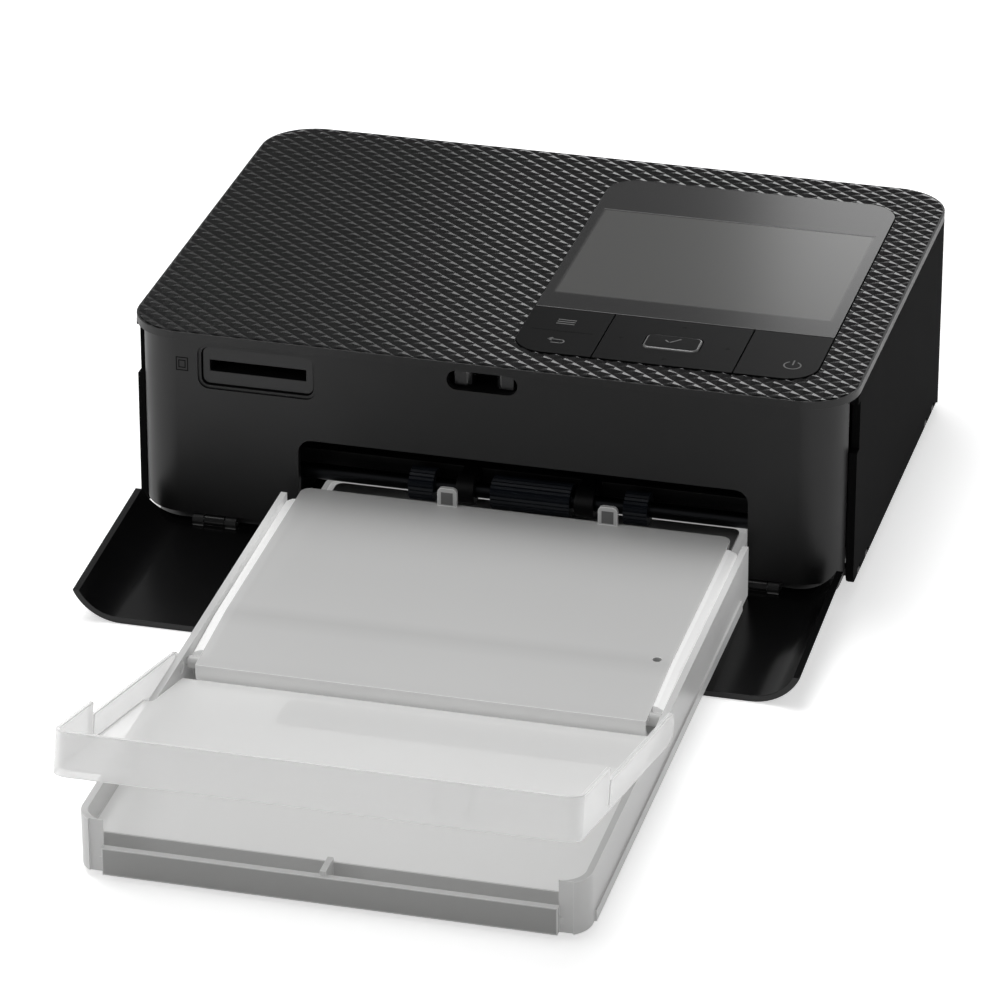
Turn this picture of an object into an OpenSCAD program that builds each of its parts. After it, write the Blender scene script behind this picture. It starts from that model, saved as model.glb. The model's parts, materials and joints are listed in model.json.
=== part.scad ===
// Compact photo printer: body, drop-down front cover, ink compartment and paper cassette.
// Inside the body the front edge of the top plate is y = 0, and the table is z = 0.

/* [Body] */
// Width across the side panels
body_w = 182.2; // [176:0.1:200]
// Depth from the front edge of the top plate to the rear panel
body_d = 133; // [131:0.5:150]
// Height above the table
body_h = 57.6; // [57:0.1:66]
// Wall of the outer panels
shell_t = 2; // [1.6:0.1:2.2]
// Thickness of the top plate
top_t = 2.4; // [2.2:0.1:2.8]
// How far the top plate lies below the glossy panel
plate_drop = 0.4; // [0.2:0.05:0.6]
// Corner radius of the body in plan at the rear
rear_r = 14.2; // [10:0.1:18]
// Corner radius of the body in plan at the front
front_r = 13; // [10:0.1:14]
// Height of the rubber feet
foot_h = 1.6; // [1.2:0.1:1.9]
// Gap between neighbouring outer pieces
seam = 0.2; // [0.1:0.05:0.3]
// Where the side panels start behind the front edge
side_y = 10.4; // [10.2:0.1:12]

/* [Front] */
// Left edge of the paper slot
slot_x0 = -47.2; // [-49:0.1:-46]
// Right edge of the paper slot
slot_x1 = 66.3; // [65.5:0.1:68]
// Top of the paper slot
slot_top = 30.8; // [29:0.1:33]
// Width of the card recess
card_w = 28.7; // [27:0.1:30]
// Height of the card recess
card_h = 10.2; // [9:0.1:11]
// Width of the catch opening
catch_w = 17.8; // [16:0.1:20]
// Height of the catch opening
catch_h = 5.1; // [4.6:0.1:5.6]
// Distance of the middle of the catch opening below the top plate
catch_drop = 3.45; // [3.2:0.05:6]

/* [Front cover] */
// Thickness of the front cover
cover_t = 1.6; // [1.4:0.05:1.8]
// Height of the hinge axis
cover_axis_z = 5.45; // [5.3:0.05:5.6]
// Distance of the hinge axis behind the front edge
cover_axis_y = 2; // [1.9:0.05:2.1]
// Angle from closed to open
cover_open = 94; // [88:0.5:94]
// Depth of the side flanges
flange_d = 8; // [6:0.1:9]

/* [Screen and keys] */
// Left edge of the glossy panel
panel_x0 = 4; // [2:0.1:6]
// Distance of the glossy panel from the right side
panel_right = 11.6; // [10:0.1:13]
// Front edge of the glossy panel
panel_y0 = 11; // [10:0.1:12]
// Distance of the glossy panel from the rear
panel_rear = 13.1; // [12:0.1:15]
// Corner radius of the glossy panel
panel_r = 8; // [5:0.5:10]
// Boundary between the key row and the screen window
keys_y = 37; // [35:0.1:39]
// Boundary between the left key and the direction key
key_x1 = 24.5; // [23:0.1:26]
// Boundary between the direction key and the power key
key_x2 = 59.7; // [58:0.1:61]
// Width of the OK button
ok_w = 14.1; // [12:0.1:16]
// Depth of the OK button
ok_d = 8.1; // [7:0.1:10]
// Travel of the keys
key_travel = 0.5; // [0.3:0.05:0.6]

/* [Paper path] */
// Height of the paper path through the body
paper_z = 27; // [26.6:0.1:27.4]
// Radius of the pick-up rollers
pick_r = 4.2; // [3.8:0.1:4.3]
// Radius of the pick-up shaft
pick_shaft_r = 2; // [1.6:0.1:2.2]
// Radius of the capstan roller
capstan_r = 4.5; // [4:0.1:4.6]
// Radius of the platen roller
platen_r = 7; // [6.5:0.1:7.2]
// Radial running clearance of the shafts
run_c = 0.05; // [0.03:0.01:0.08]
// Module of the gears
gear_m = 0.8; // [0.8:0.01:0.8]

/* [Ink cassette] */
// Outer radius of the two ribbon tubes
tube_r = 9; // [8.5:0.1:9.2]
// Distance between the two ribbon tubes
tube_pitch = 38; // [37:0.5:39]
// Length of the ribbon tubes
tube_l = 126; // [120:0.5:128]

/* [Paper cassette] */
// Length of the part outside the body
cas_l = 163.5; // [160:0.5:180]
// Width over the side walls
cas_w = 118; // [117.6:0.1:119]
// Height of the side walls
cas_h = 13.4; // [12.8:0.1:13.6]
// Wall of the cassette
cas_t = 1.6; // [1.4:0.1:1.8]
// How far it reaches into the body
cas_in = 27; // [25:0.5:28]
// Slope of the cassette down to the user
cas_tilt = 1.3; // [1.2:0.1:1.4]
// Slope of the output cover above the cassette
out_slope = 15.1; // [13:0.1:17]
// Length of the output cover from its hinge
out_l = 89.9; // [86:0.1:95]
// Height of the lip at its end
lip_h = 10.4; // [9:0.1:11]

/* [Hidden] */
$fn = 64;

half_w = body_w / 2;
panel_x1 = half_w - panel_right;
panel_y1 = body_d - panel_rear;
slot_mid = (slot_x0 + slot_x1) / 2;
seam_z = body_h - top_t;                    // underside of the top plate
catch_z = seam_z - catch_drop;
panel_top = seam_z - seam;                  // top edge of the upright panels
side_z = foot_h + shell_t;                  // lower edge of the side and rear panels
floor_top = foot_h + shell_t;               // inner floor
front_in = cover_t + seam;                  // face of the front panel
front_z = cover_axis_z + 1.75;              // lower edge of the front panel
rim_x = half_w - shell_t - 2.2;             // outer face of the floor's rim
side_in = half_w - shell_t;                 // inner face of the side panels
rear_y = body_d - rear_r + 0.9;             // where the rear panel starts on the sides
side_y1 = rear_y - seam;

// paper cassette, in its own sloping frame: u along y, zero where it meets the front panel
cas_half = cas_w / 2;
cas_y = -3;
cas_z = 5.15;
cas_floor = 2.4;                            // underside of its floor
cas_floor_t = 1.4;
in_half = cas_half - 4.3;                   // half width of the part that goes in
deck_z = 7.3;                               // top of the fixed deck at the user's end
lid_u = -83;                                // hinge of the inner cover
lid_z = cas_h - 2.8;
crease_u = -62.5;                           // where the inner cover starts to slope down to its hinge
out_u = lid_u - 4;                          // hinge of the output cover
out_z = cas_h - 2.2;
pin_r = 1;
out_pin_r = 1.5;

// overall frame: the middle of the whole object in plan is the origin
lip_top = 6.56;                             // top of the lip above the hinge of the output cover
tip_w = lip_top - lip_h;                    // underside of the output cover below its hinge
lip_u = out_u - out_l * cos(out_slope) + tip_w * sin(out_slope);
lip_z = out_z + out_l * sin(out_slope) + tip_w * cos(out_slope);
front_most = cas_y + lip_u * cos(cas_tilt) - lip_z * sin(cas_tilt);
shift_y = -(body_d + front_most) / 2;

// chassis and what it carries
plate_t = 1.2;
plate_x0 = slot_x0 - 5.8;                   // outer face of the left plate
plate_x1 = slot_x1 + 4.7;                   // inner face of the right plate
plate_z0 = floor_top + 1;
pick = [13, 17.2];                          // shaft centres, y and z
capstan = [50, paper_z - capstan_r];
pinch_r = 3.7;
pinch = [50, paper_z + 0.3 + pinch_r];
platen = [84, paper_z - platen_r];
tube_z = paper_z + 1.1 + tube_r;
supply = [platen[0] - tube_pitch / 2, tube_z];
takeup = [platen[0] + tube_pitch / 2, tube_z];
plate_z1 = tube_z + tube_r + 1.1;
chassis_y1 = takeup[0] + tube_r + 6;
capstan_teeth = 36;
idler_teeth = 20;
pickup_teeth = 20;
pinion_teeth = 12;
ribbon_teeth = 30;
gear_x0 = plate_x0 - 0.5 - 4;               // gears lie outside the left plate
gear_t = 4;
bracket_x = gear_x0 - 1 - plate_t;

function pitch_r(teeth) = teeth * gear_m / 2;
// centre of a gear that meshes with two others, on their left as seen from the side
function between(a, ra, b, rb, r) =
    let (d = norm(b - a), p = ra + r, q = rb + r,
         s = (p * p - q * q + d * d) / (2 * d), h = sqrt(max(0, p * p - s * s)),
         e = (b - a) / d)
    a + s * e + h * [-e[1], e[0]];
idler = between(capstan, pitch_r(capstan_teeth), pick, pitch_r(pickup_teeth), pitch_r(idler_teeth));
motor = capstan + [pitch_r(capstan_teeth) + pitch_r(pinion_teeth), 0];
ribbon_axis = takeup - [0, pitch_r(ribbon_teeth) + pitch_r(pinion_teeth)];
// turn that puts a gap of the second gear where the first has a tooth
function bearing(a, b) = atan2(b[1] - a[1], b[0] - a[0]);
function meshed(turn, teeth, a, b, teeth_b) =
    bearing(a, b) + 180 + 180 / teeth_b - (turn - bearing(a, b)) * teeth / teeth_b;
idler_turn = meshed(0, capstan_teeth, capstan, idler, idler_teeth);
pickup_turn = meshed(idler_turn, idler_teeth, idler, pick, pickup_teeth);
motor_turn = meshed(0, capstan_teeth, capstan, motor, pinion_teeth);
ribbon_turn = meshed(0, ribbon_teeth, takeup, ribbon_axis, pinion_teeth);

// ---------- helpers ----------

module box(x0, x1, y0, y1, z0, z1) {
    translate([x0, y0, z0]) cube([x1 - x0, y1 - y0, z1 - z0]);
}

// rectangle with four round corners: rf at the front, rb at the back
module round_rect(x0, x1, y0, y1, rf, rb) {
    difference() {
        translate([x0, y0]) square([x1 - x0, y1 - y0]);
        for (c = [[x0, y0, 1, 1, rf], [x1, y0, -1, 1, rf], [x0, y1, 1, -1, rb], [x1, y1, -1, -1, rb]])
            if (c[4] > 0) translate([c[0], c[1]]) difference() {
                translate([c[2] > 0 ? -1 : -c[4], c[3] > 0 ? -1 : -c[4]]) square(c[4] + 1);
                translate([c[2] * c[4], c[3] * c[4]]) circle(c[4]);
            }
    }
}

module slab(x0, x1, y0, y1, z0, z1, rf = 0, rb = 0) {
    translate([0, 0, z0]) linear_extrude(z1 - z0) round_rect(x0, x1, y0, y1, rf, rb);
}

// upright slab: rounded rectangle in x and z, from y0 to y1
module upright(x0, x1, y0, y1, z0, z1, r) {
    translate([0, y1, 0]) rotate([90, 0, 0]) linear_extrude(y1 - y0)
        round_rect(x0, x1, z0, z1, r, r);
}

// profile in y and z, drawn out along x
module along_x(x0, x1) {
    translate([x0, 0, 0]) rotate([90, 0, 90]) linear_extrude(x1 - x0) children();
}

module rod(x0, x1, at, r) {
    translate([x0, at[0], at[1]]) rotate([0, 90, 0]) cylinder(h = x1 - x0, r = r);
}

module rod_y(y0, y1, x, z, r) {
    translate([x, y0, z]) rotate([-90, 0, 0]) cylinder(h = y1 - y0, r = r);
}

module at_body() {
    translate([0, shift_y, 0]) children();
}

// the paper cassette's sloping frame
module cassette_frame() {
    translate([slot_mid - 0.8, cas_y, cas_z]) rotate([cas_tilt, 0, 0]) children();
}
module at_cassette() {
    at_body() cassette_frame() children();
}

// involute gear outline, one tooth centred on the first axis
pressure = 25;
addendum = 0.9;
backlash = 0.04;
function involute(r, base) =
    let (t = sqrt(max(0, r * r / (base * base) - 1))) t * 180 / PI - atan(t);
module gear_outline(teeth) {
    r = pitch_r(teeth);
    base = r * cos(pressure);
    root_r = r - 1.15 * gear_m;
    tip_r = r + addendum * gear_m;
    start = max(base, root_r + 0.02);
    half = 90 / teeth - backlash / r * 180 / PI;
    flank = [for (q = [start : (tip_r - start) / 4 : tip_r + 0.001])
        [q, half + involute(r, base) - involute(q, base)]];
    side = concat([[root_r, flank[0][1]]], flank);
    n = len(side);
    tooth = concat([for (p = side) [p[0], -p[1]]], [for (i = [n - 1 : -1 : 0]) side[i]]);
    polygon([for (k = [0 : teeth - 1]) for (p = tooth)
        p[0] * [cos(k * 360 / teeth + p[1]), sin(k * 360 / teeth + p[1])]]);
}

module gear(teeth, at, turn, x0, bore_r) {
    translate([x0, at[0], at[1]]) rotate([90, 0, 90]) difference() {
        linear_extrude(gear_t) rotate(turn) gear_outline(teeth);
        translate([0, 0, -1]) cylinder(h = gear_t + 2, r = bore_r);
    }
}

// ---------- housing ----------

black = "#1d1d1f";
rim_z = 9;
base_y0 = front_in + shell_t + 1.4;
base_y1 = body_d - shell_t - seam;
lug_x = half_w - 22.1;                      // middle of each front hinge
lug_w = 2.8;
knuckle_w = 5.2;
door_lugs = [22, body_d - 25];              // middles of the side door's hinges
door_axis = [half_w - shell_t / 2, side_z + 1.3];
hinge_pin_r = 0.8;
door_pin_r = 0.5;
board_z1 = seam_z - 4;                      // top of the key board
main_z0 = seam_z - 12;
main_z1 = main_z0 + 1.6;
main_x0 = -rim_x + 0.9;                     // left edge of the main board
screw_x = rim_x - 6.9;
screw_at = [for (x = [-screw_x, screw_x], y = [44, body_d - 35]) [x, y]];
foot_x = rim_x - 12.9;
key_post_x = half_w - 7.2;
key_post_y = [15, body_d - 21];
key_posts = [[-1, 20], [-1, key_post_y[1]], [key_post_x, key_post_y[0]], [key_post_x, key_post_y[1]]];
main_posts = [[main_x0 + 4, 16], [main_x0 + 4, 82], [-60, 82], [-46.5, 36]];

module rim_outline(y0) {
    round_rect(-rim_x, rim_x, y0, base_y1, front_r - front_in - shell_t, rear_r - shell_t - seam);
}

module bottom_case() {
    color(black) at_body() difference() {
        union() {
            translate([0, 0, foot_h]) linear_extrude(shell_t) rim_outline(base_y0);
            translate([0, 0, foot_h]) linear_extrude(rim_z - foot_h) difference() {
                rim_outline(base_y0);
                offset_inner_rim();
            }
            for (p = screw_at) translate([p[0], p[1], foot_h]) cylinder(h = rim_z - foot_h, r = 3.2);
            for (x = [plate_x0 + 6, plate_x1 - 6], y = [46, chassis_y1 - 6])
                translate([x, y, foot_h]) cylinder(h = plate_z0 - foot_h, r = 4);
            // rails that guide the paper cassette
            for (x = [slot_x0 - 0.4, slot_x1 - 0.8]) box(x, x + 1.2, base_y0 + 1, cas_in + 2, foot_h, rim_z);
            // ribs that the paper cassette rests on
            for (x = [-42, -15, 15, 42]) cassette_frame()
                box(x - 0.8, x + 0.8, 10, cas_in - 1, -3.2, cas_floor - 0.02);
            for (side = [-1, 1], end = [-1, 1])
                cover_lug(side * lug_x + end * (knuckle_w + lug_w + 2 * seam) / 2);
            for (y = door_lugs, end = [-1, 1]) door_lug(y + end * (6 + 3 + 2 * seam) / 2);
        }
        // way in for the paper cassette
        box(slot_x0 + 0.8, slot_x1 - 0.8, 0, base_y0 + 3, floor_top, rim_z + 1);
        for (p = screw_at) translate([p[0], p[1], 0]) {
            cylinder(h = foot_h + 1.3, r = 2.5);
            cylinder(h = rim_z + 1, r = 1.2);
        }
        for (x = [-36 : 6 : 48]) slab(x, x + 2, 60, 82, 0, floor_top + 1, 1, 1);
        rod(-lug_x - 8, -lug_x + 8, [cover_axis_y, cover_axis_z], hinge_pin_r);
        rod(lug_x - 8, lug_x + 8, [cover_axis_y, cover_axis_z], hinge_pin_r);
        for (y = door_lugs) rod_y(y - 8, y + 8, door_axis[0], door_axis[1], door_pin_r);
    }
}

module offset_inner_rim() {
    round_rect(-rim_x + shell_t, rim_x - shell_t, base_y0 + shell_t, base_y1 - shell_t,
        front_r - front_in - 2 * shell_t, rear_r - 2 * shell_t - seam);
}

// ear on the floor's front edge that holds a hinge pin of the front cover
module cover_lug(x) {
    along_x(x - lug_w / 2, x + lug_w / 2) union() {
        translate([cover_axis_y, cover_axis_z]) circle(1.6);
        translate([cover_axis_y, foot_h + 0.6])
            square([base_y0 - cover_axis_y + 0.5, cover_axis_z - foot_h + 0.6]);
    }
}

module door_lug(y) {
    rod_y(y - 1.5, y + 1.5, door_axis[0], door_axis[1], shell_t / 2);
    box(rim_x - 0.5, door_axis[0], y - 1.5, y + 1.5, door_axis[1] - 1, door_axis[1] + 1);
}

module top_cover() {
    color(black) at_body() difference() {
        union() {
            slab(-half_w, half_w, 0, body_d, seam_z, body_h - plate_drop, front_r, rear_r);
            translate([0, 0, seam_z - 3]) linear_extrude(3.5) difference() {
                rim_outline(front_in + shell_t + 0.8);
                round_rect(-rim_x + 1.4, rim_x - 1.4, front_in + shell_t + 2.2, base_y1 - 1.4,
                    front_r - front_in - shell_t - 1.4, rear_r - shell_t - seam - 1.4);
            }
            slab(panel_x0 - 1.5, panel_x1 + 1.5, panel_y0 - 1.5, panel_y1 + 1.5,
                seam_z - 1.4, seam_z + 0.5, panel_r + 1.5, panel_r + 1.5);
            for (p = key_posts) translate([p[0], p[1], board_z1])
                cylinder(h = seam_z - board_z1 + 0.5, r = 2.2);
            for (p = main_posts) translate([p[0], p[1], main_z1])
                cylinder(h = seam_z - main_z1 + 0.5, r = 1.6);
        }
        slab(panel_x0 - seam, panel_x1 + seam, panel_y0 - seam, panel_y1 + seam,
            seam_z, body_h + 1, panel_r + seam, panel_r + seam);
        slab(panel_x0 + 1.5, panel_x1 - 1.5, panel_y0 + 1.5, panel_y1 - 1.5,
            seam_z - 2, seam_z + 1, panel_r - 1.5, panel_r - 1.5);
        box(catch_x - catch_w / 2 - 2.5, catch_x + catch_w / 2 + 2.5, 0, 14, seam_z - 4, seam_z);
    }
}

card_x0 = -half_w + 19.2;
card_z1 = seam_z - 2.3;
catch_x = -0.4;

module front_panel() {
    outer_r = front_r - front_in;
    x = half_w - front_in;
    color(black) at_body() difference() {
        translate([0, 0, front_z]) linear_extrude(panel_top - front_z) difference() {
            round_rect(-x, x, front_in, side_y - seam, outer_r, 0);
            round_rect(-x + shell_t, x - shell_t, front_in + shell_t, side_y + 1,
                outer_r - shell_t, 0);
        }
        upright(slot_x0, slot_x1, front_in - 1, front_in + shell_t + 1, -10, slot_top, 3.5);
        upright(card_x0 - 0.8, card_x0 + card_w + 0.8, front_in - 1, front_in + 0.5,
            card_z1 - card_h - 0.8, card_z1 + 0.8, 2.8);
        upright(card_x0, card_x0 + card_w, front_in - 1, front_in + shell_t + 1,
            card_z1 - card_h, card_z1, 2);
        upright(catch_x - catch_w / 2, catch_x + catch_w / 2, front_in - 1, front_in + shell_t + 1,
            catch_z - catch_h / 2, catch_z + catch_h / 2, catch_h / 2 - 0.05);
    }
}

// outline of a side panel in y and z, its lower front corner rounded
module side_outline() {
    difference() {
        translate([side_y, side_z]) square([side_y1 - side_y, panel_top - side_z]);
        difference() {
            translate([side_y - 1, side_z - 1]) square([5, 5]);
            translate([side_y + 4, side_z + 4]) circle(4);
        }
        translate([side_y - 1, 40]) square([3.6, 13]);
    }
}

module left_side_panel() {
    color(black) at_body() {
        along_x(-half_w, -side_in) side_outline();
        for (y = [30, 75, door_lugs[1]]) box(-side_in, -rim_x, y, y + 2, side_z + 0.6, rim_z);
    }
}

module rear_panel() {
    color(black) at_body() difference() {
        translate([0, 0, side_z]) linear_extrude(panel_top - side_z) difference() {
            round_rect(-half_w, half_w, rear_y, body_d, 0, rear_r);
            round_rect(-half_w + shell_t, half_w - shell_t, rear_y - 1, body_d - shell_t,
                0, rear_r - shell_t);
        }
        upright(slot_x0, slot_x1, body_d - shell_t - 1, body_d + 1, paper_z - 3, paper_z + 4, 2);
        for (x = [16 : 3.6 : 70]) upright(x, x + 1.8, body_d - shell_t - 1, body_d + 1,
            paper_z + 10, seam_z - 5.2, 0.85);
        rod_y(body_d - shell_t - 1, body_d + 1, dc_at[0], dc_at[1], 3.4);
        upright(usb_at[0] - 5, usb_at[0] + 5, body_d - shell_t - 1, body_d + 1,
            usb_at[1] - 2.1, usb_at[1] + 2.1, 2);
    }
}

module rubber_feet() {
    color("#2a2a2c") at_body() for (x = [-foot_x, foot_x], y = [18, body_d - 15])
        translate([x, y, 0]) cylinder(h = foot_h, r = 5);
}

module case_screws() {
    color("silver") at_body() for (p = screw_at) translate([p[0], p[1], 0]) {
        translate([0, 0, foot_h + 0.2]) cylinder(h = 1.1, r = 2.4);
        translate([0, 0, foot_h + 1.2]) cylinder(h = rim_z - foot_h - 2, r = 1.15);
    }
}

module ink_door() {
    color(black) at_body() difference() {
        intersection() {
            translate([0, side_y1, 0]) rotate([90, 0, 0]) linear_extrude(side_y1 - side_y) union() {
                translate(door_axis) circle(shell_t / 2);
                translate([side_in, door_axis[1]]) square([shell_t, panel_top - door_axis[1]]);
            }
            along_x(side_in - 1, half_w + 1) side_outline();
        }
        for (y = door_lugs, end = [-1, 1])
            box(side_in - 1, half_w + 1, y + end * 4.7 - 1.5 - seam, y + end * 4.7 + 1.5 + seam,
                0, door_axis[1] + 1.4);
        for (y = door_lugs) rod_y(y - 4, y + 4, door_axis[0], door_axis[1], door_pin_r + run_c);
    }
}

module ink_door_pins() {
    color("silver") at_body() for (y = door_lugs)
        rod_y(y - 6.1, y + 6.1, door_axis[0], door_axis[1], door_pin_r);
}

// ---------- front cover ----------

cover_z0 = cover_axis_z - 1.55;
cover_z1 = panel_top - 0.5;
tongue_w = 4.4;

// the cover as it lies when shut
module shut_cover() {
    difference() {
        union() {
            translate([0, 0, cover_z0]) linear_extrude(cover_z1 - cover_z0) difference() {
                round_rect(-half_w, half_w, 0, flange_d, front_r, 0);
                round_rect(-half_w + cover_t, half_w - cover_t, cover_t, flange_d + 1,
                    front_r - cover_t, 0);
            }
            for (side = [-1, 1]) rod(side * lug_x - knuckle_w / 2, side * lug_x + knuckle_w / 2,
                [cover_axis_y, cover_axis_z], 1.7);
            // catch tongue with its arrow head
            box(catch_x - tongue_w / 2, catch_x + tongue_w / 2, cover_t - 0.5, cover_t + 2.6,
                catch_z - 1.3, catch_z + 1.3);
            translate([0, 0, catch_z - 1.3]) linear_extrude(2.6) translate([catch_x, cover_t + 2.4])
                polygon([[-2.7, 0], [2.7, 0], [1.6, 1.6], [-1.6, 1.6]]);
        }
        for (side = [-1, 1], end = [-1, 1]) {
            x = side * lug_x + end * (knuckle_w + lug_w + 2 * seam) / 2;
            box(x - lug_w / 2 - seam, x + lug_w / 2 + seam, -1, cover_t + 1, 0, front_z + 0.4);
        }
        for (side = [-1, 1])
            rod(side * lug_x - 4, side * lug_x + 4, [cover_axis_y, cover_axis_z], hinge_pin_r + run_c);
    }
}

module front_cover() {
    color(black) at_body() translate([0, cover_axis_y, cover_axis_z]) rotate([cover_open, 0, 0])
        translate([0, -cover_axis_y, -cover_axis_z]) shut_cover();
}

module front_cover_pins() {
    color("silver") at_body() for (side = [-1, 1])
        rod(side * lug_x - knuckle_w / 2 - lug_w, side * lug_x + knuckle_w / 2 + lug_w,
            [cover_axis_y, cover_axis_z], hinge_pin_r);
}

// ---------- screen, keys and boards ----------

key_t = 1.6;
key_gap = 0.15;
switch_h = 1.5;
stem_z = board_z1 + switch_h + key_travel + 0.05;
key_mid = (panel_y0 + keys_y) / 2;
ok_mid = [42, 23.65];
menu_mid = (panel_x0 + key_x1) / 2;
power_mid = (key_x2 + panel_x1) / 2;
four = [[key_x1 + 4, ok_mid[1]], [key_x2 - 4, ok_mid[1]], [ok_mid[0], panel_y0 + 4],
    [ok_mid[0], keys_y - 4]];

module screen_window() {
    y0 = keys_y + key_gap;
    color("#0c0c0e") at_body() difference() {
        slab(panel_x0, panel_x1, y0, panel_y1, seam_z, body_h, 0, panel_r);
        slab(panel_x0 + 1.2, panel_x1 - 1.2, y0 + 1.2, panel_y1 - 1.2,
            seam_z - 1, body_h - 1.2, 0, panel_r - 1.2);
    }
}

module lcd_display() {
    color("#5a5d62") at_body()
        slab(panel_x0 + 1.8, panel_x1 - 1.8, keys_y + 6.5, panel_y1 - 18.4, board_z1, body_h - 1.4);
}

// the stretch of the key row between x0 and x1
module key_plate(x0, x1) {
    intersection() {
        slab(panel_x0, panel_x1, panel_y0, panel_y1, body_h - key_t, body_h, panel_r, 0);
        box(x0, x1, panel_y0 - 1, keys_y - key_gap, 0, body_h + 1);
    }
}

module stem(at) {
    translate([at[0], at[1], stem_z]) cylinder(h = body_h - key_t - stem_z + 0.2, r = 1.4);
}

module menu_back_key() {
    color("#0c0c0e") at_body() {
        key_plate(panel_x0 - 1, key_x1 - key_gap);
        for (y = [key_mid - 7, key_mid + 7]) stem([menu_mid, y]);
        // pivot that it rocks on
        rod(panel_x0 + 0.4, key_x1 - key_gap - 0.6, [key_mid, body_h - key_t], 0.6);
    }
}

module direction_key() {
    color("#0c0c0e") at_body() {
        difference() {
            key_plate(key_x1 + key_gap, key_x2 - key_gap);
            slab(ok_mid[0] - ok_w / 2 - seam, ok_mid[0] + ok_w / 2 + seam,
                ok_mid[1] - ok_d / 2 - seam, ok_mid[1] + ok_d / 2 + seam,
                body_h - key_t - 1, body_h + 1, 2.1, 2.1);
        }
        for (p = four) stem(p);
    }
}

module ok_button() {
    color("#0c0c0e") at_body() {
        slab(ok_mid[0] - ok_w / 2, ok_mid[0] + ok_w / 2, ok_mid[1] - ok_d / 2, ok_mid[1] + ok_d / 2,
            body_h - key_t, body_h + 0.3, 1.9, 1.9);
        stem(ok_mid);
    }
}

module power_key() {
    color("#0c0c0e") at_body() {
        key_plate(key_x2 + key_gap, panel_x1 + 1);
        stem([power_mid, key_mid]);
    }
}

module control_board() {
    color("#1f5a38") at_body() {
        x1 = panel_x1 + 0.5;
        slab(catch_x + catch_w / 2 + 2.4, x1, 7, 14, board_z1 - 1.2, board_z1);
        slab(-3.5, x1, 14, panel_y1 - 3.9, board_z1 - 1.2, board_z1);
        for (y = key_post_y) slab(x1, key_post_x + 2.3, y - 3, y + 3, board_z1 - 1.2, board_z1);
        for (p = concat(four, [ok_mid, [menu_mid, key_mid - 7], [menu_mid, key_mid + 7],
            [power_mid, key_mid]]))
            box(p[0] - 2.2, p[0] + 2.2, p[1] - 2.2, p[1] + 2.2, board_z1, board_z1 + switch_h);
    }
}

module main_board() {
    color("#1f5a38") at_body() {
        slab(main_x0, plate_x0 - 2.4, 9, 88, main_z0, main_z1);
        slab(plate_x0 - 2.4, plate_x0 + 11, 9, 37.7, main_z0, main_z1);
        // processor, memory and two plugs
        box(main_x0 + 6, main_x0 + 20, 44, 58, main_z1, main_z1 + 1.6);
        box(main_x0 + 8, main_x0 + 16, 64, 72, main_z1, main_z1 + 1.2);
        box(main_x0 + 24, main_x0 + 28.5, 46, 66, main_z1, main_z1 + 5);
        box(main_x0 + 1.5, main_x0 + 6, 60, 76, main_z1, main_z1 + 6);
    }
}

card_slot_z = card_z1 - 5.1;

module card_socket() {
    x0 = card_x0 + key_gap;
    x1 = card_x0 + card_w - key_gap;
    color("#303134") at_body() difference() {
        union() {
            upright(x0, x1, front_in + 1.2, front_in + shell_t + 0.6,
                card_z1 - card_h + key_gap, card_z1 - key_gap, 1.85);
            box(x0 + 1.2, x1 - 1.2, front_in + shell_t + 0.2, 34, main_z1, card_slot_z + 2.6);
        }
        box(x0 + 1.9, x1 - 1.9, 0, 32, card_slot_z - 1.4, card_slot_z + 1.4);
    }
}

jaw_w = 4.6;
jaw_gap = 6;

module catch_housing() {
    color("#26262a") at_body() difference() {
        box(catch_x - catch_w / 2 - 1.6, catch_x + catch_w / 2 + 1.6, front_in + shell_t, 13,
            catch_z - catch_h / 2 - 0.8, seam_z);
        box(catch_x - catch_w / 2, catch_x + catch_w / 2, 0, 11.6,
            catch_z - catch_h / 2, catch_z + catch_h / 2);
    }
}

module catch_jaw(side) {
    x = catch_x + side * (jaw_gap + jaw_w) / 2;
    y0 = front_in + shell_t + 0.1;
    color("#8a8d92") at_body() difference() {
        box(x - jaw_w / 2, x + jaw_w / 2, y0, 9.6,
            catch_z - catch_h / 2 + 0.3, catch_z + catch_h / 2 - 0.3);
        // lead-in for the tongue
        translate([x - side * jaw_w / 2, y0, 0]) rotate([0, 0, 45])
            translate([-0.8, -0.8, 0]) cube([1.6, 1.6, body_h]);
    }
}

module catch_jaw_left() catch_jaw(-1);
module catch_jaw_right() catch_jaw(1);

dc_at = [-70, 14];
usb_at = [-57, 14];
port_y = base_y1 - shell_t - 0.2;           // inner face of the floor's rim behind the ports

module dc_inlet() {
    color("#202022") at_body() {
        difference() {
            union() {
                box(dc_at[0] - 5, dc_at[0] + 5, port_y - 13.6, port_y, floor_top, dc_at[1] + 5.5);
                rod_y(port_y - 8, body_d - shell_t - 0.1, dc_at[0], dc_at[1], 4.4);
            }
            rod_y(port_y - 8, body_d, dc_at[0], dc_at[1], 2.75);
        }
        rod_y(port_y - 8.5, body_d - shell_t - 1, dc_at[0], dc_at[1], 0.8);
    }
}

module usb_port() {
    color("#9a9ca0") at_body() {
        difference() {
            union() {
                box(usb_at[0] - 5, usb_at[0] + 5, port_y - 10.6, port_y, floor_top, usb_at[1] - 1.5);
                upright(usb_at[0] - 4.5, usb_at[0] + 4.5, port_y - 6.6, body_d - shell_t - 0.1,
                    usb_at[1] - 1.65, usb_at[1] + 1.65, 1.6);
            }
            upright(usb_at[0] - 4.1, usb_at[0] + 4.1, port_y - 4.6, body_d,
                usb_at[1] - 1.25, usb_at[1] + 1.25, 1.2);
        }
        box(usb_at[0] - 3.2, usb_at[0] + 3.2, port_y - 5.1, body_d - shell_t - 1,
            usb_at[1] - 0.35, usb_at[1] + 0.35);
    }
}

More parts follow.
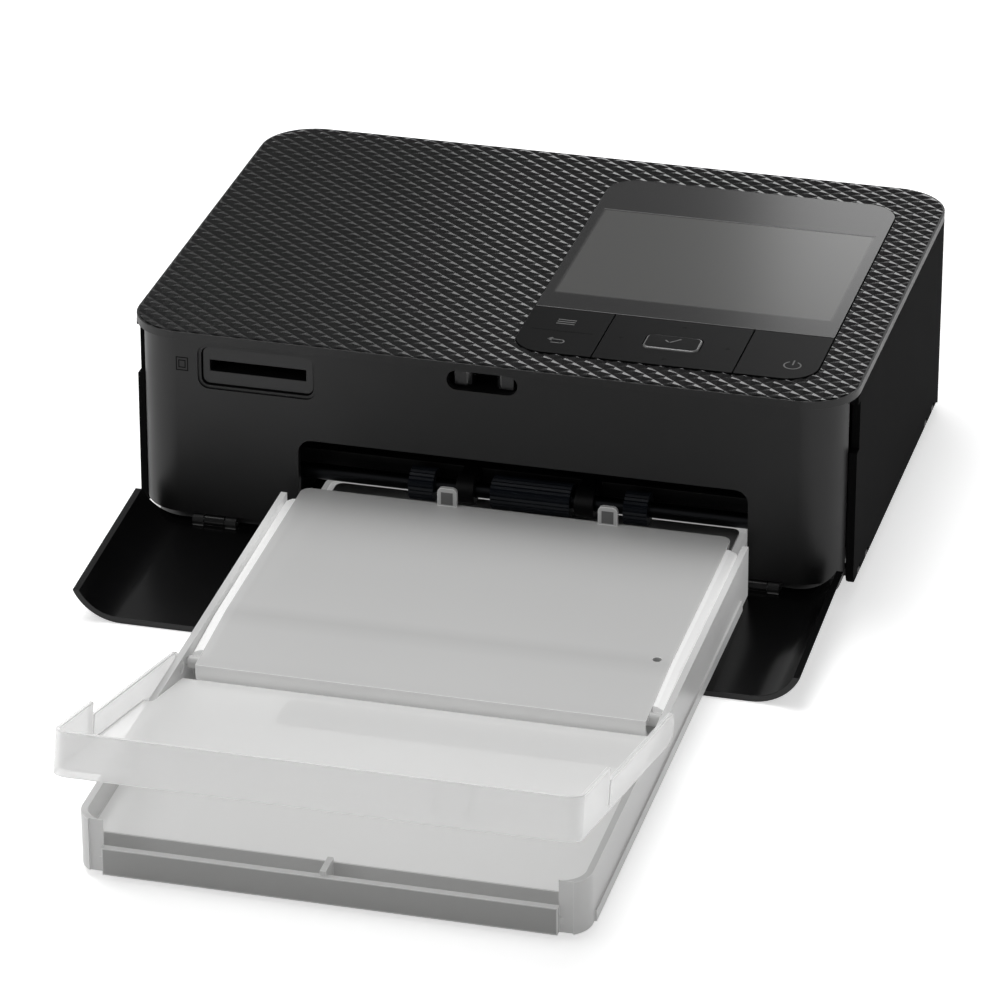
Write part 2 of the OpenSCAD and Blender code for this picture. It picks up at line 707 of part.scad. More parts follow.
// ---------- chassis, gears and rollers ----------

steel = "#b9bcc0";
stub_r = 1.5;
drive_r = 2.5;                              // shaft of the capstan and the platen
spindle_r = 2;
bar_y = [platen[0] - 5.5, platen[0] + 5.5];
bar_z = [plate_z1 - 2.2, plate_z1 - 0.2];
head_posts = [-25, 45];
lever_axis = [plate_x1 + 5, plate_z1 + 0.7];

module plate_outline() {
    difference() {
        translate([8, plate_z0]) square([chassis_y1 - 8, plate_z1 - plate_z0]);
        translate([7, 42.4]) square([31, 20]);
        translate(pick) circle(pick_shaft_r + run_c);
        for (p = [capstan, platen]) translate(p) circle(drive_r + run_c);
        translate(pinch) circle(stub_r + run_c);
    }
}

module chassis() {
    color(steel) at_body() difference() {
        union() {
            along_x(plate_x0, plate_x0 + plate_t) plate_outline();
            along_x(plate_x1, plate_x1 + plate_t) plate_outline();
            box(plate_x0, plate_x1 + plate_t, 40, chassis_y1, plate_z0, plate_z0 + plate_t);
            box(plate_x0, plate_x1 + plate_t, bar_y[0], bar_y[1], bar_z[0], bar_z[1]);
            // stub for the idler gear
            rod(gear_x0 - 0.4, plate_x0 + 0.1, idler, stub_r);
            // ears for the ink lock lever
            for (y = [78, 88]) box(plate_x1 + plate_t - 0.1, lever_axis[0] + 1.6, y, y + 2,
                plate_z1 - 2.6, plate_z1);
        }
        // way in for the ink cassette
        box(plate_x1 - 1, plate_x1 + plate_t + 0.01, supply[0] - tube_r - 1.2,
            takeup[0] + tube_r + 1.2, tube_z - tube_r - 2, tube_z + tube_r + 0.8);
        rod(plate_x0 - 1, plate_x0 + plate_t + 1, takeup, spindle_r + run_c);
        for (x = head_posts) translate([x, platen[0], 40]) cylinder(h = 10, r = 2 + run_c);
        rod_y(77, 91, lever_axis[0], lever_axis[1], 1 + run_c);
    }
}

module gear_bracket() {
    color(steel) at_body() difference() {
        union() {
            along_x(bracket_x, bracket_x + plate_t)
                round_rect(34, chassis_y1, plate_z0, 42, 4, 4);
            for (p = [[38.5, 39.2], [86, 9.5], [chassis_y1 - 4, 9.5], [84, 38.5]])
                rod(bracket_x + 0.1, plate_x0, p, 2.2);
        }
        rod(bracket_x - 1, bracket_x + plate_t + 1, capstan, drive_r + run_c);
        rod(bracket_x - 1, bracket_x + plate_t + 1, takeup, spindle_r + run_c);
        for (p = [motor, ribbon_axis]) rod(bracket_x - 1, bracket_x + plate_t + 1, p, 1.4);
    }
}

module motor_can(at) {
    difference() {
        union() {
            rod(bracket_x - 18, bracket_x, at, 11);
            for (y = [-13, 13]) rod(bracket_x - 1, bracket_x, at + [y, 0], 3.4);
            box(bracket_x - 1, bracket_x, at[0] - 13, at[0] + 13, at[1] - 3.4, at[1] + 3.4);
            rod(bracket_x - 19.5, bracket_x - 18, at, 3);
        }
        rod(bracket_x - 3, bracket_x + 1, at, 1.2);
    }
}

module drive_motor() color("#7d7f83") at_body() motor_can(motor);
module ribbon_motor() color("#7d7f83") at_body() motor_can(ribbon_axis);

module pinion(at, turn) {
    gear(pinion_teeth, at, turn, gear_x0, 0.01);
    rod(bracket_x - 2.5, gear_x0 + gear_t + 0.3, at, 1.1);
}

module motor_pinion() color("#d8c27a") at_body() pinion(motor, motor_turn);
module ribbon_pinion() color("#d8c27a") at_body() pinion(ribbon_axis, ribbon_turn);
module capstan_gear() color("ivory") at_body() gear(capstan_teeth, capstan, 0, gear_x0, drive_r);
module idler_gear() color("ivory") at_body()
    gear(idler_teeth, idler, idler_turn, gear_x0, stub_r + run_c);
module pickup_gear() color("ivory") at_body()
    gear(pickup_teeth, pick, pickup_turn, gear_x0, pick_shaft_r);

module ribbon_gear() {
    color("ivory") at_body() {
        gear(ribbon_teeth, takeup, 0, gear_x0, spindle_r - 0.5);
        rod(bracket_x, ink_x0 + 3.2, takeup, spindle_r);
    }
}

module pickup_shaft() color("silver") at_body() rod(gear_x0 - 0.6, plate_x1 + plate_t + 1, pick, pick_shaft_r);

// ribbed rubber sleeves
rib_count = 24;
rollers_x = [[-21.2, -14.9], [-0.3, 19.8], [33.4, 39.4]];
module pickup_rollers() {
    color("#4c5a68") at_body() for (s = rollers_x)
        translate([s[0], pick[0], pick[1]]) rotate([90, 0, 90]) linear_extrude(s[1] - s[0])
            difference() {
                polygon([for (i = [0 : 2 * rib_count - 1]) let (a = i * 180 / rib_count,
                    r = pick_r - (i % 2) * 0.35) r * [cos(a), sin(a)]]);
                circle(pick_shaft_r);
            }
}

bearings_x = [[-9.2, -4.6], [20.9, 25.8]];
module roller_carrier() {
    color("#232326") at_body() difference() {
        union() {
            box(plate_x0 + plate_t, plate_x1, pick[0] + 5.4, pick[0] + 8.6, pick[1] - 2.4, pick[1] + 3.4);
            for (s = bearings_x) {
                along_x(s[0], s[1]) union() {
                    translate(pick) circle(3.8);
                    translate([pick[0], pick[1] - 2.4]) square([6, 5.8]);
                }
            }
        }
        rod(-20, 40, pick, pick_shaft_r + run_c);
    }
}

guide_z = paper_z - 1.4;
module paper_guide() {
    n = 16;
    y0 = cas_in + 3.5;
    y1 = capstan[0] - capstan_r - 0.4;
    z0 = 8.4;
    rise = [for (i = [0 : n]) [y0 + (y1 - y0) * i / n,
        z0 + (guide_z - z0) * (1 - cos(180 * i / n)) / 2]];
    x0 = plate_x0 + plate_t;
    color("#26262a") at_body() {
        along_x(x0, plate_x1) polygon(concat(rise, [for (i = [n : -1 : 0]) rise[i] - [0, 1.2]]));
        box(x0, plate_x1, capstan[0] + capstan_r + 1, platen[0] - platen_r - 1, guide_z - 1, guide_z);
        box(x0, plate_x1, platen[0] + platen_r + 1, chassis_y1, guide_z - 1, guide_z);
    }
}

module roller(at, r, shaft_r, x0, x1) {
    rod(plate_x0 + plate_t + 4, plate_x1 - 4, at, r);
    rod(x0, x1, at, shaft_r);
}

module capstan_roller() color("silver") at_body()
    roller(capstan, capstan_r, drive_r, bracket_x, plate_x1 + plate_t + 1);
module pinch_roller() color("#35383c") at_body()
    roller(pinch, pinch_r, stub_r, plate_x0 - 0.4, plate_x1 + plate_t + 1);
module platen_roller() color("#2b2d30") at_body()
    roller(platen, platen_r, drive_r, plate_x0 - 0.4, plate_x1 + plate_t + 1);

head_z = paper_z + 3.6;
module thermal_head() {
    color("#8c8f94") at_body() {
        along_x(-45, 64) translate([platen[0], head_z])
            polygon([[-5, 9.4], [-5, 3.4], [-1.6, 0], [1.6, 0], [5, 3.4], [5, 9.4]]);
        for (y = [-5 : 2.5 : 5]) box(-45, 64, platen[0] + y * 0.86 - 0.7, platen[0] + y * 0.86 + 0.7,
            head_z + 9, head_z + 12.4);
        for (x = head_posts) translate([x, platen[0], head_z + 9]) cylinder(h = 9.6, r = 2);
    }
}

// ---------- ink cassette ----------

ink_x0 = plate_x0 + plate_t + 6;
ink_x1 = ink_x0 + tube_l;
tube_in = tube_r - 1.1;

module ink_cassette() {
    color("#9a9da2") at_body() difference() {
        union() {
            for (p = [supply, takeup]) rod(ink_x0, ink_x1, p, tube_r);
            along_x(ink_x1 - 0.1, ink_x1 + 4.6) union() {
                for (p = [supply, takeup]) translate(p) circle(tube_r);
                translate([supply[0], tube_z - 6]) square([tube_pitch, tube_r + 6]);
            }
        }
        for (p = [supply, takeup]) rod(ink_x0 - 1, ink_x1, p, tube_in);
        // slits for the ribbon
        for (p = [supply, takeup]) box(ink_x0 + 4, ink_x1 - 4, p[0] - 0.8, p[0] + 0.8,
            0, tube_z - tube_in + 1);
        // finger grips in the outer end
        for (y = [platen[0] - 9, platen[0] + 1]) upright_x(ink_x1 + 2.6, ink_x1 + 6, y, y + 8,
            tube_z - 3, tube_z + 6, 2);
    }
}

module upright_x(x0, x1, y0, y1, z0, z1, r) along_x(x0, x1) round_rect(y0, y1, z0, z1, r, r);

module spool(at, wound_r) {
    difference() {
        union() {
            rod(ink_x0, ink_x1 - 0.4, at, 3.4);
            rod(ink_x0 + 5, ink_x1 - 5, at, wound_r);
            for (x = [ink_x0 + 1.5, ink_x1 - 4]) rod(x, x + 1.2, at, tube_in - 0.5);
        }
        rod(ink_x0 - 1, ink_x0 + 4, at, spindle_r + run_c);
    }
}

module supply_spool() color("#3a3c40") at_body() spool(supply, 6.4);
module takeup_spool() color("#3a3c40") at_body() spool(takeup, 4.8);
module ink_ribbon() color("#2c3350") at_body()
    box(ink_x0 + 4, ink_x1 - 4, supply[0] - 2, takeup[0] + 2, paper_z + 0.6, paper_z + 0.8);

module ink_lock_lever() {
    color("#d9dadc") at_body() {
        rod_y(78.3, 89.7, lever_axis[0], lever_axis[1], 1);
        box(lever_axis[0] - 0.6, side_in - 1.8, 80.2, 87.8, lever_axis[1] - 0.9, lever_axis[1] + 0.7);
        box(side_in - 3, side_in - 1.8, 80.2, 87.8, lever_axis[1] - 0.9, lever_axis[1] + 2.6);
    }
}

// ---------- paper cassette ----------

clear_grey = [0.86, 0.87, 0.88, 0.7];
deck_u = out_u - 0.4;                       // rear end of the fixed deck
clip_x = -1.2;                              // middle of the clip in the front trench
notch_x = cas_half - 6.5;                   // end of the low front wall

module cassette_base() {
    in_w = cas_half - cas_t;
    floor_z = cas_floor + cas_floor_t;
    color(clear_grey) at_cassette() difference() {
        union() {
            difference() {
                slab(-cas_half, cas_half, -cas_l, 0, 0, cas_h, 7, 0);
                slab(-in_w, in_w, -cas_l + cas_t, 1, -1, cas_h + 1, 7 - cas_t, 0);
                box(-notch_x - 3.3, notch_x + 3.3, -cas_l - 1, -cas_l + cas_t + 0.01, 6.9, cas_h + 1);
                for (side = [-1, 1]) box(side * (notch_x + 1.65) - 1.65, side * (notch_x + 1.65) + 1.65,
                    -cas_l - 1, -cas_l + cas_t + 0.01, -1, cas_h + 1);
            }
            slab(-in_w - 0.2, in_w + 0.2, -cas_l + cas_t - 0.2, 0, cas_floor, floor_z, 7 - cas_t, 0);
            slab(-in_half, in_half, -2, cas_in, cas_floor, floor_z, 0, 3);
            difference() {
                slab(-in_half, in_half, 0, cas_in, cas_floor, floor_z + 0.8, 0, 3);
                slab(-in_half + 1.4, in_half - 1.4, -1, cas_in - 1.4, 0, floor_z + 2, 0, 1.6);
            }
            // fixed deck over the user's end
            along_x(-in_w - 0.2, in_w + 0.2) polygon([
                [-cas_l + 6.4, floor_z - 0.1], [-cas_l + 6.4, deck_z], [deck_u, deck_z],
                [deck_u, floor_z - 0.1], [deck_u - 1.2, floor_z - 0.1], [deck_u - 1.2, deck_z - 1.2],
                [-cas_l + 7.6, deck_z - 1.2], [-cas_l + 7.6, floor_z - 0.1]]);
            // clip in the trench behind the low front wall
            box(clip_x - 0.7, clip_x + 0.7, -cas_l + 0.6, -cas_l + 7, floor_z - 0.1, deck_z + 0.9);
            // foot strip along each side
            for (side = [-1, 1]) box(min(side * cas_half, side * (cas_half + 0.5)),
                max(side * cas_half, side * (cas_half + 0.5)), -cas_l + 8, -8, 0, 2.8);
        }
        rod(-cas_half - 1, cas_half + 1, [out_u, out_z], out_pin_r + run_c);
        rod(-cas_half - 1, cas_half + 1, [lid_u, lid_z], pin_r + run_c);
    }
}

module lift_plate() {
    w = in_half - 3;
    z = cas_floor + cas_floor_t + 0.1;
    color("#a9acb0") at_cassette() {
        slab(-w, w, -60, cas_in - 2.4, z, z + 0.7, 2, 2);
        rod(-w + 2, w - 2, [-60, z + 0.6], 0.6);
    }
}

tab_x = [-17.1, 23.4];
lid_top = cas_h + 0.4;
lid_t = 1.3;
lid_fall = 1.6;                             // drop of the inner cover from its crease to its front end

// region under the inner cover's upper face, lowered by drop
module lid_section(drop) {
    polygon([[4, -1], [4, lid_top - drop], [crease_u, lid_top - drop],
        [out_u, lid_top - lid_fall - drop], [out_u, -1]]);
}

module inner_cover() {
    rim = cas_half - cas_t - 0.6;           // outer face of its side rims
    rim_step = 10.6;
    step_x = rim - 2.6;
    color(clear_grey) at_cassette() {
        difference() {
            intersection() {
                slab(-step_x, step_x, out_u, 3, 0, lid_top, 0, 2.5);
                along_x(-step_x, step_x) lid_section(0);
            }
            along_x(-cas_half, cas_half) lid_section(lid_t);
            // pin hole at the end of the crease
            translate([50.6, crease_u + 1.8, lid_top - 4]) cylinder(h = 5, r = 1.1);
        }
        // stepped rim down each side
        for (side = [-1, 1]) intersection() {
            along_y(lid_u + 2.2, -1) polygon([for (p = [[step_x - 1.2, 9.4], [rim, 4.2],
                [rim, rim_step], [step_x, rim_step], [step_x, lid_top - 0.1],
                [step_x - 1.2, lid_top - 0.1]]) [side * p[0], p[1]]]);
            along_x(-cas_half, cas_half) lid_section(0.1);
        }
        rod(-rim, rim, [lid_u, lid_z], 1.6);
        rod(-cas_half + 1, cas_half - 1, [lid_u, lid_z], pin_r);
        for (x = tab_x) upright(x - 2.45, x + 2.45, 1.8, 3, lid_top - 1, lid_top + 4.8, 1.3);
    }
}

module along_y(y0, y1) translate([0, y1, 0]) rotate([90, 0, 0]) linear_extrude(y1 - y0) children();

side_top = 3.4;                             // top edge of the output cover's side walls
wing_v = 62.2;                              // where the taller wings begin
out_wall = 1;
out_t = 1.4;
// where the plate is clear above the cassette's side walls
near_v = (cas_h + 0.3 - out_z - tip_w * cos(out_slope)) / sin(out_slope);

module output_cover() {
    w1 = cas_half + 0.1 + out_wall;
    color(clear_grey) at_cassette() translate([0, out_u, out_z]) rotate([-out_slope, 0, 0]) {
        // plate, cut back where it lies between the cassette's side walls
        difference() {
            slab(-w1, w1, -out_l, -0.5, tip_w, tip_w + out_t, 4, 0);
            for (side = [-1, 1]) box(side > 0 ? cas_half - cas_t - 0.3 : -w1 + out_wall,
                side > 0 ? w1 - out_wall : -cas_half + cas_t + 0.3, -near_v, 1, tip_w - 1, tip_w + 3);
        }
        // lip and wings
        translate([0, 0, tip_w]) linear_extrude(lip_h) difference() {
            round_rect(-w1, w1, -out_l, -wing_v, 4, 0);
            round_rect(-w1 + out_wall, w1 - out_wall, -out_l + 1.2, -wing_v + 1, 3, 0);
        }
        for (side = [-1, 1]) {
            x0 = side > 0 ? w1 - out_wall : -w1;
            box(x0, x0 + out_wall, -wing_v + 0.9, 0, tip_w, side_top);
            rod(x0, x0 + out_wall, [0, 0], side_top);
            rod(side > 0 ? cas_half - 0.9 : -w1, side > 0 ? w1 : -cas_half + 0.9,
                [0, 0], out_pin_r);
        }
        // thin ribs behind the lip
        for (x = [-41, 27, 35]) box(x, x + 0.8, -out_l + 1, -out_l + 3, tip_w + out_t - 0.1, lip_top - 1);
    }
}

bottom_case();
top_cover();
front_panel();
left_side_panel();
rear_panel();
rubber_feet();
case_screws();
screen_window();
lcd_display();
menu_back_key();
direction_key();
ok_button();
power_key();
control_board();
main_board();
card_socket();
catch_housing();
catch_jaw_left();
catch_jaw_right();
dc_inlet();
usb_port();
front_cover();
front_cover_pins();
ink_door();
ink_door_pins();
chassis();
gear_bracket();
drive_motor();
motor_pinion();
capstan_gear();
idler_gear();
pickup_gear();
ribbon_motor();
ribbon_pinion();
ribbon_gear();
pickup_shaft();
pickup_rollers();
roller_carrier();
paper_guide();
capstan_roller();
pinch_roller();
platen_roller();
thermal_head();
ink_cassette();
supply_spool();
takeup_spool();
ink_ribbon();
ink_lock_lever();
cassette_base();
lift_plate();
inner_cover();
output_cover();
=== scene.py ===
import bpy
import bmesh
import json
import math
from mathutils import Matrix, Vector


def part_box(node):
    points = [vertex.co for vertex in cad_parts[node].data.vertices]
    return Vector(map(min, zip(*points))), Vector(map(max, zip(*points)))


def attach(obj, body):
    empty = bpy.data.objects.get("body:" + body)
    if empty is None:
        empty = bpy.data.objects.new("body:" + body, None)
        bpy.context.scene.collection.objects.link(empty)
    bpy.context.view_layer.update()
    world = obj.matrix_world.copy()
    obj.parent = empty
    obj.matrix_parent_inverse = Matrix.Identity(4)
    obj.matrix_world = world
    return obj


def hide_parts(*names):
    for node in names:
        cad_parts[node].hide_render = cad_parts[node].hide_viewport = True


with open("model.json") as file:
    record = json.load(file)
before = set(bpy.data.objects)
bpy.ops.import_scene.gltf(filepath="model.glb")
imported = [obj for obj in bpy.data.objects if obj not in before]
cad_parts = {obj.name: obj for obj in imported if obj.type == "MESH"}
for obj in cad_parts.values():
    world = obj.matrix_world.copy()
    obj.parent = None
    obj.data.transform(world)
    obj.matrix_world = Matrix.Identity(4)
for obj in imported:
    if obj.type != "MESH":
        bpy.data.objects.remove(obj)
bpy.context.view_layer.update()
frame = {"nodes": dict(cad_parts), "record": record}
mm = 0.001
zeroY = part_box("top_cover")[0][1]           # front edge of the top plate
print("frame loaded")

# camera
cameraView = {"place": (0.33393, -1.24092, 0.66677), "turn": (63.708, -0.086, 14.646), "lens": 214.3}
cameraData = bpy.data.cameras.new("tableCamera")
cameraData.lens = cameraView["lens"]
cameraData.sensor_width = 36
cameraData.clip_start = 0.05
cameraData.clip_end = 20
camera = bpy.data.objects.new("tableCamera", cameraData)
camera.location = cameraView["place"]
camera.rotation_euler = [math.radians(a) for a in cameraView["turn"]]
bpy.context.collection.objects.link(camera)
bpy.context.scene.camera = camera


# shared effects
def newGroup(name, inputs, outputs):
    group = bpy.data.node_groups.new(name, "ShaderNodeTree")
    for label, kind, value in inputs:
        socket = group.interface.new_socket(name=label, in_out="INPUT", socket_type=kind)
        if value is not None:
            socket.default_value = value
    for label, kind in outputs:
        group.interface.new_socket(name=label, in_out="OUTPUT", socket_type=kind)
    return group, group.nodes.new("NodeGroupInput"), group.nodes.new("NodeGroupOutput")


def mathNode(tree, kind, first, second):
    node = tree.nodes.new("ShaderNodeMath")
    node.operation = kind
    for socket, value in zip(node.inputs, (first, second)):
        if isinstance(value, (int, float)):
            socket.default_value = value
        else:
            tree.links.new(value, socket)
    return node.outputs[0]


def scaledColour(tree, colour, factor):
    # colour times a grey factor
    node = tree.nodes.new("ShaderNodeVectorMath")
    node.operation = "SCALE"
    tree.links.new(colour, node.inputs[0])
    tree.links.new(factor, node.inputs["Scale"])
    return node.outputs[0]


def noiseNode(tree, vector, scale, detail, factor=1.0):
    node = tree.nodes.new("ShaderNodeTexNoise")
    node.inputs["Detail"].default_value = detail
    tree.links.new(vector, node.inputs["Vector"])
    tree.links.new(mathNode(tree, "MULTIPLY", scale, factor), node.inputs["Scale"])
    return node.outputs["Fac"]


def rampNode(tree, value, low, high, start=0.0, end=1.0):
    # value from low to high becomes start to end
    node = tree.nodes.new("ShaderNodeMapRange")
    for socket, number in zip(node.inputs[1:5], (low, high, start, end)):
        socket.default_value = number
    tree.links.new(value, node.inputs["Value"])
    return node.outputs[0]


def placeParts(tree, kind="Object"):
    # x, y and z of a texture coordinate
    place = tree.nodes.new("ShaderNodeTexCoord")
    parts = tree.nodes.new("ShaderNodeSeparateXYZ")
    tree.links.new(place.outputs[kind], parts.inputs[0])
    return parts.outputs


def around(tree, fac, spread):
    # 1 plus or minus spread, following a noise
    return mathNode(tree, "ADD", mathNode(tree, "MULTIPLY", mathNode(tree, "SUBTRACT", fac, 0.5), spread), 1.0)


finishInputs = [("Vector", "NodeSocketVector", None), ("Colour", "NodeSocketColor", (0.5, 0.5, 0.5, 1)),
                ("Scale", "NodeSocketFloat", 900.0), ("Shade", "NodeSocketFloat", 0.2),
                ("Rough", "NodeSocketFloat", 0.4), ("Spread", "NodeSocketFloat", 0.2)]
finishOutputs = [("Colour", "NodeSocketColor"), ("Rough", "NodeSocketFloat"), ("Height", "NodeSocketFloat")]


def closeEffect(group, given, made, fine, cloud, shade):
    rough = mathNode(group, "MULTIPLY", given.outputs["Rough"], around(group, cloud, given.outputs["Spread"]))
    group.links.new(scaledColour(group, given.outputs["Colour"], shade), made.inputs["Colour"])
    group.links.new(rough, made.inputs["Rough"])
    group.links.new(fine, made.inputs["Height"])
    return group


def mouldedGrain(slowFactor=0.03):
    # spark-eroded grain with slow changes of tone and gloss
    group, given, made = newGroup("mouldedGrain", finishInputs, finishOutputs)
    fine = noiseNode(group, given.outputs["Vector"], given.outputs["Scale"], 3.0)
    slow = noiseNode(group, given.outputs["Vector"], given.outputs["Scale"], 2.0, slowFactor)
    return closeEffect(group, given, made, fine, slow, around(group, slow, given.outputs["Shade"]))


def drawnLines(stretch=0.03, slowFactor=0.05):
    # fine lines along x, as on ground shafts, sheet and cans
    group, given, made = newGroup("drawnLines", finishInputs, finishOutputs)
    mapping = group.nodes.new("ShaderNodeMapping")
    mapping.inputs["Scale"].default_value = (stretch, 1, 1)
    group.links.new(given.outputs["Vector"], mapping.inputs["Vector"])
    fine = noiseNode(group, mapping.outputs[0], given.outputs["Scale"], 2.0)
    slow = noiseNode(group, given.outputs["Vector"], given.outputs["Scale"], 2.0, slowFactor)
    return closeEffect(group, given, made, fine, slow, around(group, fine, given.outputs["Shade"]))


def frostedFlow(cloudFactor=0.01):
    # milky plastic: soft clouds from the flow of the melt under a very fine frosting
    group, given, made = newGroup("frostedFlow", finishInputs, finishOutputs)
    cloud = noiseNode(group, given.outputs["Vector"], given.outputs["Scale"], 1.0, cloudFactor)
    fine = noiseNode(group, given.outputs["Vector"], given.outputs["Scale"], 2.0)
    return closeEffect(group, given, made, fine, cloud, around(group, cloud, given.outputs["Shade"]))


effects = {"grain": mouldedGrain(), "drawn": drawnLines(), "frost": frostedFlow()}


def finish(name, effect, colour, rough, scale=900.0, shade=0.2, spread=0.25, bump=0.1, depth=0.02, **sockets):
    material = bpy.data.materials.new(name)
    material.use_nodes = True
    tree = material.node_tree
    shader = tree.nodes["Principled BSDF"]
    place = tree.nodes.new("ShaderNodeTexCoord")
    group = tree.nodes.new("ShaderNodeGroup")
    group.node_tree = effects[effect]
    given = {"Colour": (*colour, 1), "Scale": scale, "Shade": shade, "Rough": rough, "Spread": spread}
    for label, value in given.items():
        group.inputs[label].default_value = value
    tree.links.new(place.outputs["Object"], group.inputs["Vector"])
    tree.links.new(group.outputs["Colour"], shader.inputs["Base Color"])
    tree.links.new(group.outputs["Rough"], shader.inputs["Roughness"])
    bumpNode = tree.nodes.new("ShaderNodeBump")
    bumpNode.inputs["Strength"].default_value = bump
    bumpNode.inputs["Distance"].default_value = depth * mm
    tree.links.new(group.outputs["Height"], bumpNode.inputs["Height"])
    tree.links.new(bumpNode.outputs["Normal"], shader.inputs["Normal"])
    for label, value in sockets.items():
        shader.inputs[label.replace("_", " ")].default_value = value
    return material


finishTable = {
    "bodyBlack": ("grain", (0.0075, 0.0075, 0.0078), 0.44,
                  {"scale": 2600, "bump": 0.2, "Specular_IOR_Level": 0.36}),
    "reliefBlack": ("grain", (0.004, 0.004, 0.0042), 0.2,
                    {"scale": 2600, "bump": 0.1, "Specular_IOR_Level": 0.2}),
    "sideBlack": ("grain", (0.006, 0.006, 0.0062), 0.8,
                  {"scale": 2600, "spread": 0.05, "bump": 0.2, "Specular_IOR_Level": 0.02}),
    "edgeShine": ("grain", (0.012, 0.012, 0.0122), 0.2,
                  {"scale": 1500, "shade": 0.1, "bump": 0.02, "Specular_IOR_Level": 0.9}),
    # the OK button's rim, much lighter than the key: a painted highlight
    "okRimHighlight": ("grain", (0.1, 0.1, 0.1), 0.25,
              {"scale": 1500, "shade": 0.1, "bump": 0.02, "Specular_IOR_Level": 0.8}),
    "coverBlack": ("grain", (0.003, 0.003, 0.0032), 0.22,
                   {"scale": 1800, "bump": 0.05, "Specular_IOR_Level": 0.3}),
    "keyGloss": ("grain", (0.005, 0.005, 0.0052), 0.3,
                 {"scale": 600, "shade": 0.1, "bump": 0.02, "Specular_IOR_Level": 0.04}),
    "innerBlack": ("grain", (0.006, 0.006, 0.0064), 0.45,
                   {"scale": 2000, "bump": 0.2, "Specular_IOR_Level": 0.3}),
    "socketBlack": ("grain", (0.008, 0.008, 0.0085), 0.3,
                    {"scale": 1500, "bump": 0.1, "Specular_IOR_Level": 0.35}),
    "catchGrey": ("grain", (0.02, 0.02, 0.021), 0.25, {"scale": 1500, "bump": 0.1}),
    "footRubber": ("grain", (0.02, 0.02, 0.021), 0.75, {"scale": 1200, "bump": 0.4}),
    "rollerRubber": ("grain", (0.008, 0.011, 0.018), 0.5, {"scale": 1500, "bump": 0.3}),
    "shaftDark": ("drawn", (0.03, 0.031, 0.034), 0.35, {"scale": 2400, "shade": 0.12, "Metallic": 1.0}),
    "gearIvory": ("grain", (0.72, 0.69, 0.6), 0.4, {"scale": 900, "shade": 0.08, "bump": 0.1}),
    "inkGrey": ("grain", (0.2, 0.205, 0.215), 0.42, {"scale": 1500, "bump": 0.2}),
    "ribbonFilm": ("grain", (0.03, 0.03, 0.07), 0.2, {"scale": 300, "bump": 0.05}),
    "trayGrey": ("grain", (0.5, 0.5, 0.5), 0.5, {"scale": 1200, "shade": 0.1, "bump": 0.15}),
    "boardGreen": ("grain", (0.02, 0.1, 0.045), 0.35, {"scale": 700, "bump": 0.15}),
    "sheetSteel": ("drawn", (0.55, 0.56, 0.58), 0.32, {"scale": 1500, "Metallic": 1.0}),
    "groundSteel": ("drawn", (0.62, 0.63, 0.65), 0.2, {"scale": 3000, "shade": 0.12, "Metallic": 1.0}),
    "canSteel": ("drawn", (0.42, 0.43, 0.45), 0.34, {"scale": 1200, "Metallic": 1.0}),
    "brass": ("drawn", (0.72, 0.53, 0.25), 0.28, {"scale": 2000, "Metallic": 1.0}),
    "headAluminium": ("drawn", (0.58, 0.59, 0.61), 0.4, {"scale": 900, "Metallic": 1.0}),
    # the base plastic also glows through glowAlong below: painted glow
    "baseFrostGlow": ("frost", (0.7, 0.7, 0.695), 0.34,
                  {"scale": 1600, "shade": 0.05, "bump": 0.1, "Alpha": 0.88}),
    # the lid plastic with a little emission: painted glow
    "lidFrostGlow": ("frost", (0.74, 0.74, 0.735), 0.26,
                 {"scale": 1600, "shade": 0.05, "bump": 0.08, "Alpha": 0.9, "Emission_Strength": 0.1}),
    # the tray plastic also glows through glowAlong below: painted glow
    "trayFrostGlow": ("frost", (0.8, 0.8, 0.795), 0.26,
                  {"scale": 1600, "shade": 0.04, "bump": 0.05, "Alpha": 0.55}),
    # a lighter copy of the base plastic with a little emission: painted light on the deck, which lies in the
    # shade of the output cover
    "deckPaintedLight": ("frost", (0.88, 0.88, 0.875), 0.4,
                  {"scale": 1600, "shade": 0.04, "bump": 0.05, "Emission_Strength": 0.06}),
    # a darker copy of the base plastic for the bay: painted shade
    "bayPaintedShade": ("frost", (0.45, 0.45, 0.445), 0.4, {"scale": 1600, "shade": 0.04, "bump": 0.05}),
    # the lid's side rims, lighter than the lid and glowing through glowAlong: painted light
    "rimPaintedLight": ("frost", (0.88, 0.88, 0.875), 0.3, {"scale": 1600, "shade": 0.05, "bump": 0.05}),
    # cassette edges, lighter than the plastic and with a little emission: painted highlight
    "edgeFrostHighlight": ("frost", (0.85, 0.85, 0.845), 0.2,
                  {"scale": 1600, "shade": 0.05, "bump": 0.02, "Emission_Strength": 0.08}),
    # a darker copy of the base plastic for the cassette's front wall: painted shade
    "wallPaintedShade": ("frost", (0.38, 0.38, 0.375), 0.4, {"scale": 1600, "shade": 0.05, "bump": 0.05}),
    "tabFrost": ("frost", (0.16, 0.16, 0.16), 0.3, {"scale": 1600, "shade": 0.05, "bump": 0.05}),
    # pale print, also used for the painted highlight line along the display edge
    "printPaleAndHighlight": ("grain", (0.15, 0.15, 0.15), 0.5, {"scale": 1500, "shade": 0.1, "Specular_IOR_Level": 0.1}),
    "printDark": ("grain", (0.0025, 0.0025, 0.0026), 0.5,
                  {"scale": 1500, "shade": 0.1, "Specular_IOR_Level": 0.05}),
}
finishes = {name: finish(name, effect, colour, rough, **more)
            for name, (effect, colour, rough, more) in finishTable.items()}


# painted glow on the base, rim and tray plastics: emission at the rear and at the front
glows = {"from": -20, "to": -65,
         "strength": {"baseFrostGlow": (0.2, 0.03), "rimPaintedLight": (0.17, 0.22), "trayFrostGlow": (0.14, 0.14)}}


